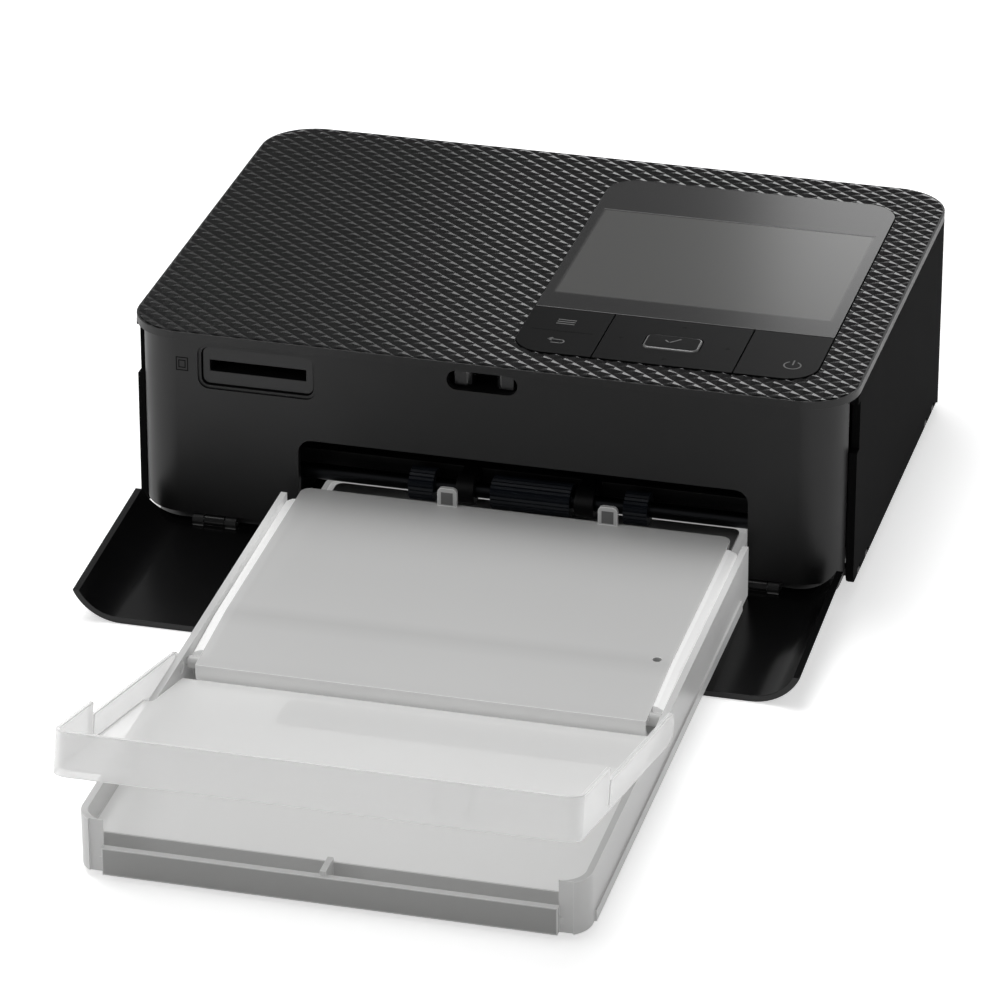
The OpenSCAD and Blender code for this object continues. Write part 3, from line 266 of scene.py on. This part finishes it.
def glowAlong(material, look, rear, front):
    # painted glow in place of light gathered inside the clear plastic, from the slot forwards to the deck
    tree = material.node_tree
    shader = tree.nodes["Principled BSDF"]
    glow = rampNode(tree, placeParts(tree)[1], look["from"] * mm + zeroY, look["to"] * mm + zeroY, rear, front)
    tree.links.new(glow, shader.inputs["Emission Color"])
    shader.inputs["Emission Strength"].default_value = 1.0


for name, ends in glows["strength"].items():
    glowAlong(finishes[name], glows, *ends)
print("finishes made")


# the window: black print with the display showing through
windowLook = {"left": 6.6, "right": 76.8, "front": 46.3, "rear": 99.2, "soft": 0.5,
              "print": (0.004, 0.004, 0.0042, 1), "display": (0.07, 0.07, 0.068, 1), "rough": 0.15}


def windowFinish(look):
    material = finish("windowGloss", "grain", look["print"][:3], look["rough"], scale=400, shade=0.1, bump=0.01)
    tree = material.node_tree
    parts = placeParts(tree)
    mask = 1.0
    for axis, low, high in ((0, look["left"], look["right"]), (1, look["front"], look["rear"])):
        for edge, sign in ((low, 1), (high, -1)):
            middle = edge * mm + axis * zeroY
            reach = sign * look["soft"] * mm
            mask = mathNode(tree, "MULTIPLY", rampNode(tree, parts[axis], middle - reach, middle + reach), mask)
    mix = tree.nodes.new("ShaderNodeMix")
    mix.data_type = "RGBA"
    for socket, label in ((6, "print"), (7, "display")):
        mix.inputs[socket].default_value = look[label]
    tree.links.new(mask, mix.inputs[0])
    tree.links.new(mix.outputs[2], tree.nodes["Principled BSDF"].inputs["Base Color"])
    return material


finishes["windowGloss"] = windowFinish(windowLook)

# painted shade: the lid is a little darker along its crease
creaseShadeLook = {"rear": -61, "middle": -66, "front": -72, "dark": 0.92,
              "finish": ("frost", (0.74, 0.74, 0.735), 0.26)}


def creaseShadeFinish(look):
    material = finish("lidCreaseShade", *look["finish"], scale=1600, shade=0.05, bump=0.08, Alpha=0.82)
    tree = material.node_tree
    shader = tree.nodes["Principled BSDF"]
    plain = shader.inputs["Base Color"].links[0].from_socket
    y = placeParts(tree)[1]
    sides = [rampNode(tree, y, look["middle"] * mm + zeroY, look[far] * mm + zeroY, look["dark"])
             for far in ("rear", "front")]
    tone = mathNode(tree, "MAXIMUM", *sides)
    tree.links.new(scaledColour(tree, plain, tone), shader.inputs["Base Color"])
    return material


finishes["lidCreaseShade"] = creaseShadeFinish(creaseShadeLook)


# CAD pieces with soft edges
def bodyOf(node):
    for body, nodes in frame["record"]["behaviour"]["bodies"].items():
        if node in nodes:
            return body


def newPiece(name, bm, material, body, smooth=False):
    mesh = bpy.data.meshes.new(name)
    bm.to_mesh(mesh)
    bm.free()
    mesh.materials.append(finishes[material])
    piece = bpy.data.objects.new(name, mesh)
    bpy.context.collection.objects.link(piece)
    if smooth:
        mesh.shade_smooth()
    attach(piece, body)
    return piece


def mergedCopy(node, weld=0.000003, flatAngle=0.6):
    bm = bmesh.new()
    bm.from_mesh(frame["nodes"][node].data)
    bmesh.ops.remove_doubles(bm, verts=bm.verts, dist=weld)
    bmesh.ops.dissolve_limit(bm, angle_limit=math.radians(flatAngle), verts=bm.verts, edges=bm.edges)
    return bm


def softEdged(node, material, width, edge=None, segments=2, limit=40):
    piece = newPiece(node + "Moulded", mergedCopy(node), material, bodyOf(node), smooth=True)
    bevel = piece.modifiers.new("edge", "BEVEL")
    bevel.width = width * mm
    bevel.segments = segments
    bevel.limit_method = "ANGLE"
    bevel.angle_limit = math.radians(limit)
    bevel.use_clamp_overlap = True
    if edge:
        piece.data.materials.append(finishes[edge])
        bevel.material = 1
    shading = piece.modifiers.new("shading", "WEIGHTED_NORMAL")
    shading.mode = "FACE_AREA"
    shading.weight = 50
    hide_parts(node)
    return piece


softPieces = {
    "top_cover": ("bodyBlack", 0.6), "front_panel": ("bodyBlack", 0.25), "left_side_panel": ("sideBlack", 0.3),
    "ink_door": ("sideBlack", 0.3), "rear_panel": ("bodyBlack", 0.25), "front_cover": ("coverBlack", 0.35),
    "screen_window": ("windowGloss", 0.15), "menu_back_key": ("keyGloss", 0.12),
    "direction_key": ("keyGloss", 0.12),
    "ok_button": ("keyGloss", 0.7), "power_key": ("keyGloss", 0.12),
    "cassette_base": ("baseFrostGlow", 0.25), "inner_cover": ("lidCreaseShade", 0.25),
    "output_cover": ("trayFrostGlow", 0.25),
    "roller_carrier": ("innerBlack", 0.3), "card_socket": ("socketBlack", 0.2),
    "catch_jaw_left": ("catchGrey", 0.3), "catch_jaw_right": ("catchGrey", 0.3),
}
# bevel faces in a second finish: edgeShine is only glossier, while the OK rim and cassette edge finishes are
# lighter, painted highlights
brightEdges = {"top_cover": "edgeShine", "screen_window": "edgeShine", "catch_jaw_left": "edgeShine",
               "catch_jaw_right": "edgeShine", "ok_button": "okRimHighlight", "cassette_base": "edgeFrostHighlight",
               "inner_cover": "edgeFrostHighlight", "output_cover": "edgeFrostHighlight"}
for node, (material, width) in softPieces.items():
    softEdged(node, material, width, brightEdges.get(node))

plainPieces = {
    "bodyBlack": ["bottom_case"], "footRubber": ["rubber_feet"],
    "innerBlack": ["catch_housing", "dc_inlet", "paper_guide", "supply_spool", "takeup_spool", "lcd_display"],
    "boardGreen": ["control_board", "main_board"],
    "groundSteel": ["front_cover_pins", "ink_door_pins", "capstan_roller"], "shaftDark": ["pickup_shaft"],
    "sheetSteel": ["chassis", "gear_bracket", "usb_port", "case_screws"],
    "canSteel": ["drive_motor", "ribbon_motor"], "brass": ["motor_pinion", "ribbon_pinion"],
    "gearIvory": ["capstan_gear", "idler_gear", "pickup_gear", "ribbon_gear", "ink_lock_lever"],
    "rollerRubber": ["pickup_rollers", "pinch_roller", "platen_roller"],
    "headAluminium": ["thermal_head"], "inkGrey": ["ink_cassette"], "ribbonFilm": ["ink_ribbon"],
    "trayGrey": ["lift_plate"],
}
for material, nodes in plainPieces.items():
    for node in nodes:
        data = frame["nodes"][node].data
        data.materials.clear()
        data.materials.append(finishes[material])
print("CAD pieces dressed")


# relief of the top plate: staggered low pyramids, each with its peak set back
relief = {"pitch": 5.2, "row": 2.2, "height": 0.38, "base": 57.21, "peak": 0.1, "start": (0.3, 14.5),
          "cells": 92, "shift": (0.5, 20.5, 0), "spare": 6, "margin": 0.6, "front": 12.4, "rear": 13.6,
          "hole": (4, 79.5, 11, 119.9), "round": 8, "gap": 0.3, "depth": 0.1}


def cutPlane(bm, point, normal, clear=True, reach=1e-7):
    bmesh.ops.bisect_plane(bm, geom=bm.verts[:] + bm.edges[:] + bm.faces[:], dist=reach,
                           plane_co=point, plane_no=normal, clear_outer=clear)


def outlinePlanes(x0, x1, y0, y1, frontRound, rearRound, steps=8):
    # the sides of a rounded rectangle as points and outward normals
    planes = [(Vector(p), Vector(n)) for p, n in (((x0, y0, 0), (-1, 0, 0)), ((x1, y0, 0), (1, 0, 0)),
                                                  ((x0, y0, 0), (0, -1, 0)), ((x0, y1, 0), (0, 1, 0)))]
    for sx, cornerX in ((-1, x0), (1, x1)):
        for sy, cornerY, radius in ((-1, y0, frontRound), (1, y1, rearRound)):
            middle = Vector((cornerX - sx * radius, cornerY - sy * radius, 0))
            for k in range(1, steps):
                angle = math.pi / 2 * k / steps
                normal = Vector((sx * math.cos(angle), sy * math.sin(angle), 0))
                planes.append((middle + normal * radius, normal))
    return planes


def reliefSkin(size):
    low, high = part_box("top_cover")
    across, along = size["pitch"] / 2 * mm, size["row"] * mm
    edge = size["margin"] * mm
    x0, x1, y0, y1 = low[0] + edge, high[0] - edge, low[1] + edge, high[1] - edge
    spare = size["spare"] * mm
    bm = bmesh.new()
    bmesh.ops.create_grid(bm, x_segments=size["cells"], y_segments=size["cells"], size=size["cells"] / 2)
    startX, startY = (v * mm for v in size["start"])
    lattice = Matrix(((across, across, 0, startX), (-along, along, 0, startY + zeroY),
                      (0, 0, 1, size["base"] * mm), (0, 0, 0, 1)))
    bmesh.ops.transform(bm, matrix=lattice @ Matrix.Translation(size["shift"]), verts=bm.verts)
    far = [f for f in bm.faces if not (x0 - spare < f.calc_center_median().x < x1 + spare
                                       and y0 - spare < f.calc_center_median().y < y1 + spare)]
    bmesh.ops.delete(bm, geom=far, context="FACES")
    peaks = bmesh.ops.poke(bm, faces=bm.faces[:], offset=size["height"] * mm, center_mode="MEAN")["verts"]
    bmesh.ops.translate(bm, verts=peaks, vec=(0, size["peak"] * mm, 0))
    for point, normal in outlinePlanes(x0, x1, y0, y1, size["front"] * mm, size["rear"] * mm):
        cutPlane(bm, point, normal)
    return bm


def panelHole(bm, size):
    # leaves out the field of the glossy panel
    gap, corner = size["gap"] * mm, (size["round"] + size["gap"]) * mm
    hx0, hx1, hy0, hy1 = [v * mm for v in size["hole"]]
    planes = outlinePlanes(hx0 - gap, hx1 + gap, hy0 - gap + zeroY, hy1 + gap + zeroY, corner, corner)
    for point, normal in planes:
        cutPlane(bm, point, normal, clear=False)

    def inHole(face):
        middle = face.calc_center_median()
        return all((middle - point).dot(normal) < 0 for point, normal in planes)

    bmesh.ops.delete(bm, geom=[f for f in bm.faces if inHole(f)], context="FACES")


def thickened(bm, depth):
    # closed shell: the skin and a copy of it just below
    made = bmesh.ops.extrude_face_region(bm, geom=bm.faces[:], use_keep_orig=True)["geom"]
    moved = [g for g in made if isinstance(g, bmesh.types.BMVert)]
    bmesh.ops.translate(bm, verts=moved, vec=(0, 0, -depth * mm))
    bmesh.ops.recalc_face_normals(bm, faces=bm.faces[:])


skin = reliefSkin(relief)
panelHole(skin, relief)
thickened(skin, relief["depth"])
newPiece("topRelief", skin, "reliefBlack", "housing")
print("top relief made")


# paper cassette: shoulders and rounded nose of the lid, and under the output cover a lighter deck sheet
# (painted light) and a darker bay sheet (painted shade)
cassetteSet = {"start": (8.75, -3, 5.15), "tilt": 1.3}
cassettePlace = (Matrix.Translation(Vector((0, zeroY, 0)) + Vector(cassetteSet["start"]) * mm)
                 @ Matrix.Rotation(math.radians(cassetteSet["tilt"]), 4, "X"))


def drawnOut(bm, section, stations):
    # a section in x and z, carried along y through stations of (y, drop)
    rings = [[bm.verts.new(Vector((x, y, z - drop)) * mm) for x, z in section] for y, drop in stations]
    bm.faces.new(rings[0])
    bm.faces.new(rings[-1])
    for near, far in zip(rings, rings[1:]):
        for k in range(len(section)):
            after = (k + 1) % len(section)
            bm.faces.new((near[k], near[after], far[after], far[k]))


def block(bm, x0, x1, y0, y1, z0, z1):
    size = Matrix.Diagonal(((x1 - x0) * mm, (y1 - y0) * mm, (z1 - z0) * mm, 1))
    place = Matrix.Translation(Vector(((x0 + x1) / 2, (y0 + y1) / 2, (z0 + z1) / 2)) * mm)
    bmesh.ops.create_cube(bm, size=1, matrix=place @ size)


def closedUp(bm, matrix, weld=0.000001):
    bmesh.ops.transform(bm, matrix=matrix, verts=bm.verts)
    bmesh.ops.remove_doubles(bm, verts=bm.verts, dist=weld)
    bmesh.ops.recalc_face_normals(bm, faces=bm.faces[:])


shoulder = {"section": [(53.9, 13.6), (55.2, 13.4), (56.6, 12.7), (57.1, 11.9), (57.1, 10.7), (53.9, 10.7)],
            "stations": [(-3, 0), (-62.5, 0), (-80, 1.14)]}


def lidShoulders(size):
    for name, side in (("lidShoulderLeft", -1), ("lidShoulderRight", 1)):
        bm = bmesh.new()
        drawnOut(bm, [(side * x, z) for x, z in size["section"]], size["stations"])
        closedUp(bm, cassettePlace)
        # the shoulders take the lighter, glowing rim finish: painted light
        newPiece(name, bm, "rimPaintedLight", "inner_cover")


nose = {"half": 54.1, "hinge": (-83, 10.6), "outer": 4.3, "thick": 0.9, "first": 159, "sweep": 88,
        "steps": 18, "sharp": 0.7}


def lidNose(size):
    bm = bmesh.new()
    section = bmesh.ops.create_grid(bm, x_segments=1, y_segments=1, size=0.5)["verts"]
    scaled = Matrix.Diagonal((size["half"] * 2 * mm, size["thick"] * mm, 1, 1))
    first = Matrix.Rotation(math.radians(size["first"]), 4, "X")
    bmesh.ops.transform(bm, matrix=scaled, verts=section)
    bmesh.ops.translate(bm, verts=section, vec=(0, (size["outer"] - size["thick"] / 2) * mm, 0))
    bmesh.ops.rotate(bm, verts=section, matrix=first, cent=(0, 0, 0))
    bmesh.ops.spin(bm, geom=bm.faces[:], cent=(0, 0, 0), axis=(1, 0, 0), angle=math.radians(size["sweep"]),
                   steps=size["steps"], use_merge=False, use_duplicate=False)
    closedUp(bm, cassettePlace @ Matrix.Translation(Vector((0, *size["hinge"])) * mm))
    piece = newPiece("lidNose", bm, "lidFrostGlow", "inner_cover", smooth=True)
    piece.data.set_sharp_from_angle(angle=size["sharp"])


def inlay(name, boxes, material, node):
    # flat blocks set into a face of a cassette piece
    bm = bmesh.new()
    for box in boxes:
        block(bm, *box)
    closedUp(bm, cassettePlace)
    newPiece(name, bm, material, bodyOf(node))


def roundPlate(name, size, material):
    # thin plate with two round corners at its left end
    bm = bmesh.new()
    x0, x1, y0, y1, z0, z1 = size["box"]
    block(bm, x0, x1, y0, y1, z0, z1)
    middle = (x0 + x1) / 2 * mm
    upright = [e for e in bm.edges if abs(e.verts[0].co.z - e.verts[1].co.z) > (z1 - z0) * mm / 2
               and e.verts[0].co.x < middle]
    bmesh.ops.bevel(bm, geom=upright, offset=size["round"] * mm, segments=8, profile=0.5,
                    affect="EDGES", material=-1)
    closedUp(bm, cassettePlace)
    newPiece(name, bm, material, "paper_cassette")


deck = {"box": (-57, 57, -156.8, -86.1, 7.25, 7.36), "round": 0.5}
bay = {"box": (-31, 56.9, -101, -88.9, 7.3, 7.44), "round": 2.6}
# the cassette's front wall, painted darker as it faces away from the light above: painted shade
wallShadeField = (-52.2, 52.2, -163.56, -163.44, 0.4, 6.6)
tabFields = [(x - 1.5, x + 1.5, 1.74, 1.84, 14.2, 17.5) for x in (-17.1, 23.4)]

lidShoulders(shoulder)
lidNose(nose)
# deck sheet: painted light
roundPlate("deckLightSkin", deck, "deckPaintedLight")
# bay sheet: a darker field where the bay lies in shade, painted shade
roundPlate("bayShadeInlay", bay, "bayPaintedShade")
# front wall field: painted shade
inlay("wallShadeInlay", [wallShadeField], "wallPaintedShade", "cassette_base")
inlay("tabInlays", tabFields, "tabFrost", "inner_cover")
print("cassette details made")


# printed signs on the keys and beside the card recess, and a painted highlight line along the display edge
printed = {"thick": 0.04, "lift": 0.005, "turns": 14}


def stroke(bm, start, end, width):
    # straight stroke in the sign's own plane
    start, end = Vector((*start, 0)), Vector((*end, 0))
    turn = Matrix.Rotation(math.atan2(end.y - start.y, end.x - start.x), 4, "Z")
    size = Matrix.Diagonal((((end - start).length + width) * mm, width * mm, printed["thick"] * mm, 1))
    bmesh.ops.create_cube(bm, size=1, matrix=Matrix.Translation((start + end) / 2 * mm) @ turn @ size)


def strokes(bm, width, *points):
    for start, end in zip(points, points[1:]):
        stroke(bm, start, end, width)


def arc(bm, middle, radius, width, first, sweep, steps):
    # curved stroke: its section is spun about the middle
    before = set(bm.verts)
    section = bmesh.ops.create_grid(bm, x_segments=1, y_segments=1, size=0.5)["verts"]
    upright = Matrix.Rotation(math.pi / 2, 4, "X")
    bmesh.ops.transform(bm, matrix=Matrix.Diagonal((width * mm, printed["thick"] * mm, 1, 1)), verts=section)
    bmesh.ops.rotate(bm, verts=section, matrix=upright, cent=(0, 0, 0))
    bmesh.ops.translate(bm, verts=section, vec=(radius * mm, 0, 0))
    bmesh.ops.rotate(bm, verts=section, matrix=Matrix.Rotation(math.radians(first), 4, "Z"), cent=(0, 0, 0))
    faces = list({f for v in section for f in v.link_faces})
    edges = list({e for f in faces for e in f.edges})
    bmesh.ops.spin(bm, geom=faces + section + edges, cent=(0, 0, 0), axis=(0, 0, 1),
                   angle=math.radians(sweep), steps=steps, use_merge=False, use_duplicate=False)
    fresh = [v for v in bm.verts if v not in before]
    bmesh.ops.translate(bm, verts=fresh, vec=Vector((*middle, 0)) * mm)


def menuSign(bm, width, half=2.1, step=1.15):
    for k in (-1, 0, 1):
        stroke(bm, (-half, k * step), (half, k * step), width)


def lineSign(bm, width, half=7.6):
    stroke(bm, (-half, 0), (half, 0), width)


# line for the painted highlight along the display's rear edge
def edgeHighlightLine(bm, width):
    lineSign(bm, width, 35.2)


def backSign(bm, width, radius=0.95):
    stroke(bm, (-2, radius), (1.2, radius), width)
    arc(bm, (1.2, 0), radius, width, -90, 180, printed["turns"])
    stroke(bm, (1.2, -radius), (-0.8, -radius), width)
    for y in (1.7, 0.2):
        stroke(bm, (-2, radius), (-1.1, y), width)


def tickSign(bm, width):
    strokes(bm, width, (-1.5, 0), (-0.4, -1.1), (1.9, 1.3))


def arrowSign(bm, radius):
    bmesh.ops.create_cone(bm, cap_ends=True, segments=3, radius1=radius * mm, radius2=radius * mm,
                          depth=printed["thick"] * mm)


def powerSign(bm, width):
    arc(bm, (0, 0), 2.05, width, 118, 304, 30)
    stroke(bm, (0, 0.4), (0, 2.7), width)


def arrow(at, turn):
    return {"draw": arrowSign, "line": 0.75, "at": at, "turn": turn, "on": "direction_key",
            "finish": "printDark"}


signs = {
    "menuBars": {"draw": menuSign, "line": 0.4, "at": (13.9, 29.3), "on": "menu_back_key"},
    "menuLine": {"draw": lineSign, "line": 0.22, "at": (14.2, 23.9), "on": "menu_back_key",
                 "finish": "printDark"},
    "backArrow": {"draw": backSign, "line": 0.36, "at": (13.9, 17.9), "on": "menu_back_key"},
    "okTick": {"draw": tickSign, "line": 0.38, "at": (41.65, 24.46), "on": "ok_button"},
    "arrowUp": arrow((42.9, 33.5), 90),
    "arrowLeft": arrow((28.9, 23.9), 180),
    "arrowRight": arrow((55.7, 24.1), 0),
    "arrowDown": arrow((41.9, 14.5), -90),
    # a pale line along the rear edge of the display: a painted highlight, not print
    "displayEdgeHighlight": {"draw": edgeHighlightLine, "line": 0.3, "at": (41.7, 99.6), "on": "screen_window"},
    "powerRing": {"draw": powerSign, "line": 0.36, "at": (72.9, 18.8), "on": "power_key"},
}


def makeSign(name, sign):
    bm = bmesh.new()
    sign["draw"](bm, sign["line"])
    bmesh.ops.recalc_face_normals(bm, faces=bm.faces[:])
    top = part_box(sign["on"])[1][2]
    place = Matrix.Translation((sign["at"][0] * mm, sign["at"][1] * mm + zeroY, top + printed["lift"] * mm))
    turn = Matrix.Rotation(math.radians(sign.get("turn", 0)), 4, "Z")
    bmesh.ops.transform(bm, matrix=place @ turn, verts=bm.verts)
    newPiece(name, bm, sign.get("finish", "printPaleAndHighlight"), bodyOf(sign["on"]))


for name, sign in signs.items():
    makeSign(name, sign)

cardMark = {"x": -76.7, "z": 47.9, "width": 2.9, "height": 3.4, "inner": 0.55, "line": 0.25, "face": 1.8}


def cardSign(mark):
    # outline of a card with a smaller field in it, upright on the front panel
    bm = bmesh.new()
    for scale in (1.0, mark["inner"]):
        w, h = mark["width"] / 2 * scale, mark["height"] / 2 * scale
        strokes(bm, mark["line"], (-w, -h), (w, -h), (w, h), (-w, h), (-w, -h))
    bmesh.ops.rotate(bm, verts=bm.verts, matrix=Matrix.Rotation(math.pi / 2, 4, "X"), cent=(0, 0, 0))
    y = (mark["face"] - printed["lift"]) * mm + zeroY
    bmesh.ops.translate(bm, verts=bm.verts, vec=(mark["x"] * mm, y, mark["z"] * mm))
    bmesh.ops.recalc_face_normals(bm, faces=bm.faces[:])
    newPiece("cardMark", bm, "printDark", "housing")


cardSign(cardMark)
print("signs printed")


# floor, air and lamps
def floorMaterial(glow=0.55):
    # pale floor that shows white to the eye and in gloss, and keeps the shadow
    material = bpy.data.materials.new("paleFloor")
    material.use_nodes = True
    tree = material.node_tree
    shader = tree.nodes["Principled BSDF"]
    settings = {"Base Color": (0.93, 0.93, 0.93, 1), "Roughness": 0.9, "Specular IOR Level": 0.1,
                "Emission Strength": 1.0}
    for label, value in settings.items():
        shader.inputs[label].default_value = value
    path = tree.nodes.new("ShaderNodeLightPath")
    seen = mathNode(tree, "MAXIMUM", path.outputs["Is Camera Ray"], path.outputs["Is Glossy Ray"])
    seen = mathNode(tree, "MAXIMUM", seen, path.outputs["Is Transmission Ray"])
    tree.links.new(mathNode(tree, "MULTIPLY", seen, glow), shader.inputs["Emission Color"])
    return material


floorSize = 12.0
bm = bmesh.new()
bmesh.ops.create_grid(bm, x_segments=1, y_segments=1, size=floorSize / 2)
floorMesh = bpy.data.meshes.new("studioFloor")
bm.to_mesh(floorMesh)
bm.free()
floorMesh.materials.append(floorMaterial())
studioFloor = bpy.data.objects.new("studioFloor", floorMesh)
bpy.context.collection.objects.link(studioFloor)

airLook = {"horizon": (0.03, 0.12), "depth": (-0.3, 0.3), "width": (0.1, 0.8),
           "overhead": 0.3, "front": 0.8, "right": 0.3}


def studioAir(look):
    # white at the horizon except to the right, grey overhead and darker towards the front
    air = bpy.data.worlds.new("studioAir")
    air.use_nodes = True
    tree = air.node_tree
    x, y, z = placeParts(tree, "Generated")
    frontward = rampNode(tree, y, *look["depth"], look["front"], 1.0)
    overhead = mathNode(tree, "MULTIPLY", frontward, look["overhead"])
    horizon = mathNode(tree, "MULTIPLY", rampNode(tree, z, *look["horizon"], 1.0, 0.0),
                       rampNode(tree, x, *look["width"], 1.0, look["right"]))
    tree.links.new(mathNode(tree, "MAXIMUM", overhead, horizon), tree.nodes["Background"].inputs["Color"])
    return air


bpy.context.scene.world = studioAir(airLook)

lamps = {
    "roofLamp": {"place": (-0.5, 0.5, 1.9), "aim": (0, 0, 0), "size": (1.4, 1.4), "power": 27},
    "rearLamp": {"place": (0.15, 2.13, 0.57), "aim": (0.15, 0.05, 0.1), "size": (1.0, 0.86), "power": 5.6},
    "sideLamp": {"place": (1.3, -0.2, 1.0), "aim": (0, 0, 0.02), "size": (0.8, 0.8), "power": 0.2},
    "leftLamp": {"place": (-0.6, -0.4, 0.35), "aim": (-0.06, 0.02, 0.03), "size": (0.3, 0.3), "power": 0.5},
}


def addLamp(name, lamp):
    data = bpy.data.lights.new(name, "AREA")
    data.shape = "RECTANGLE"
    data.size, data.size_y = lamp["size"]
    data.energy = lamp["power"]
    light = bpy.data.objects.new(name, data)
    light.location = lamp["place"]
    light.rotation_euler = (Vector(lamp["aim"]) - Vector(lamp["place"])).to_track_quat("-Z", "Y").to_euler()
    light.visible_camera = False
    bpy.context.collection.objects.link(light)


for name, lamp in lamps.items():
    addLamp(name, lamp)
bpy.context.scene.view_settings.view_transform = "Standard"
print("stage lit")
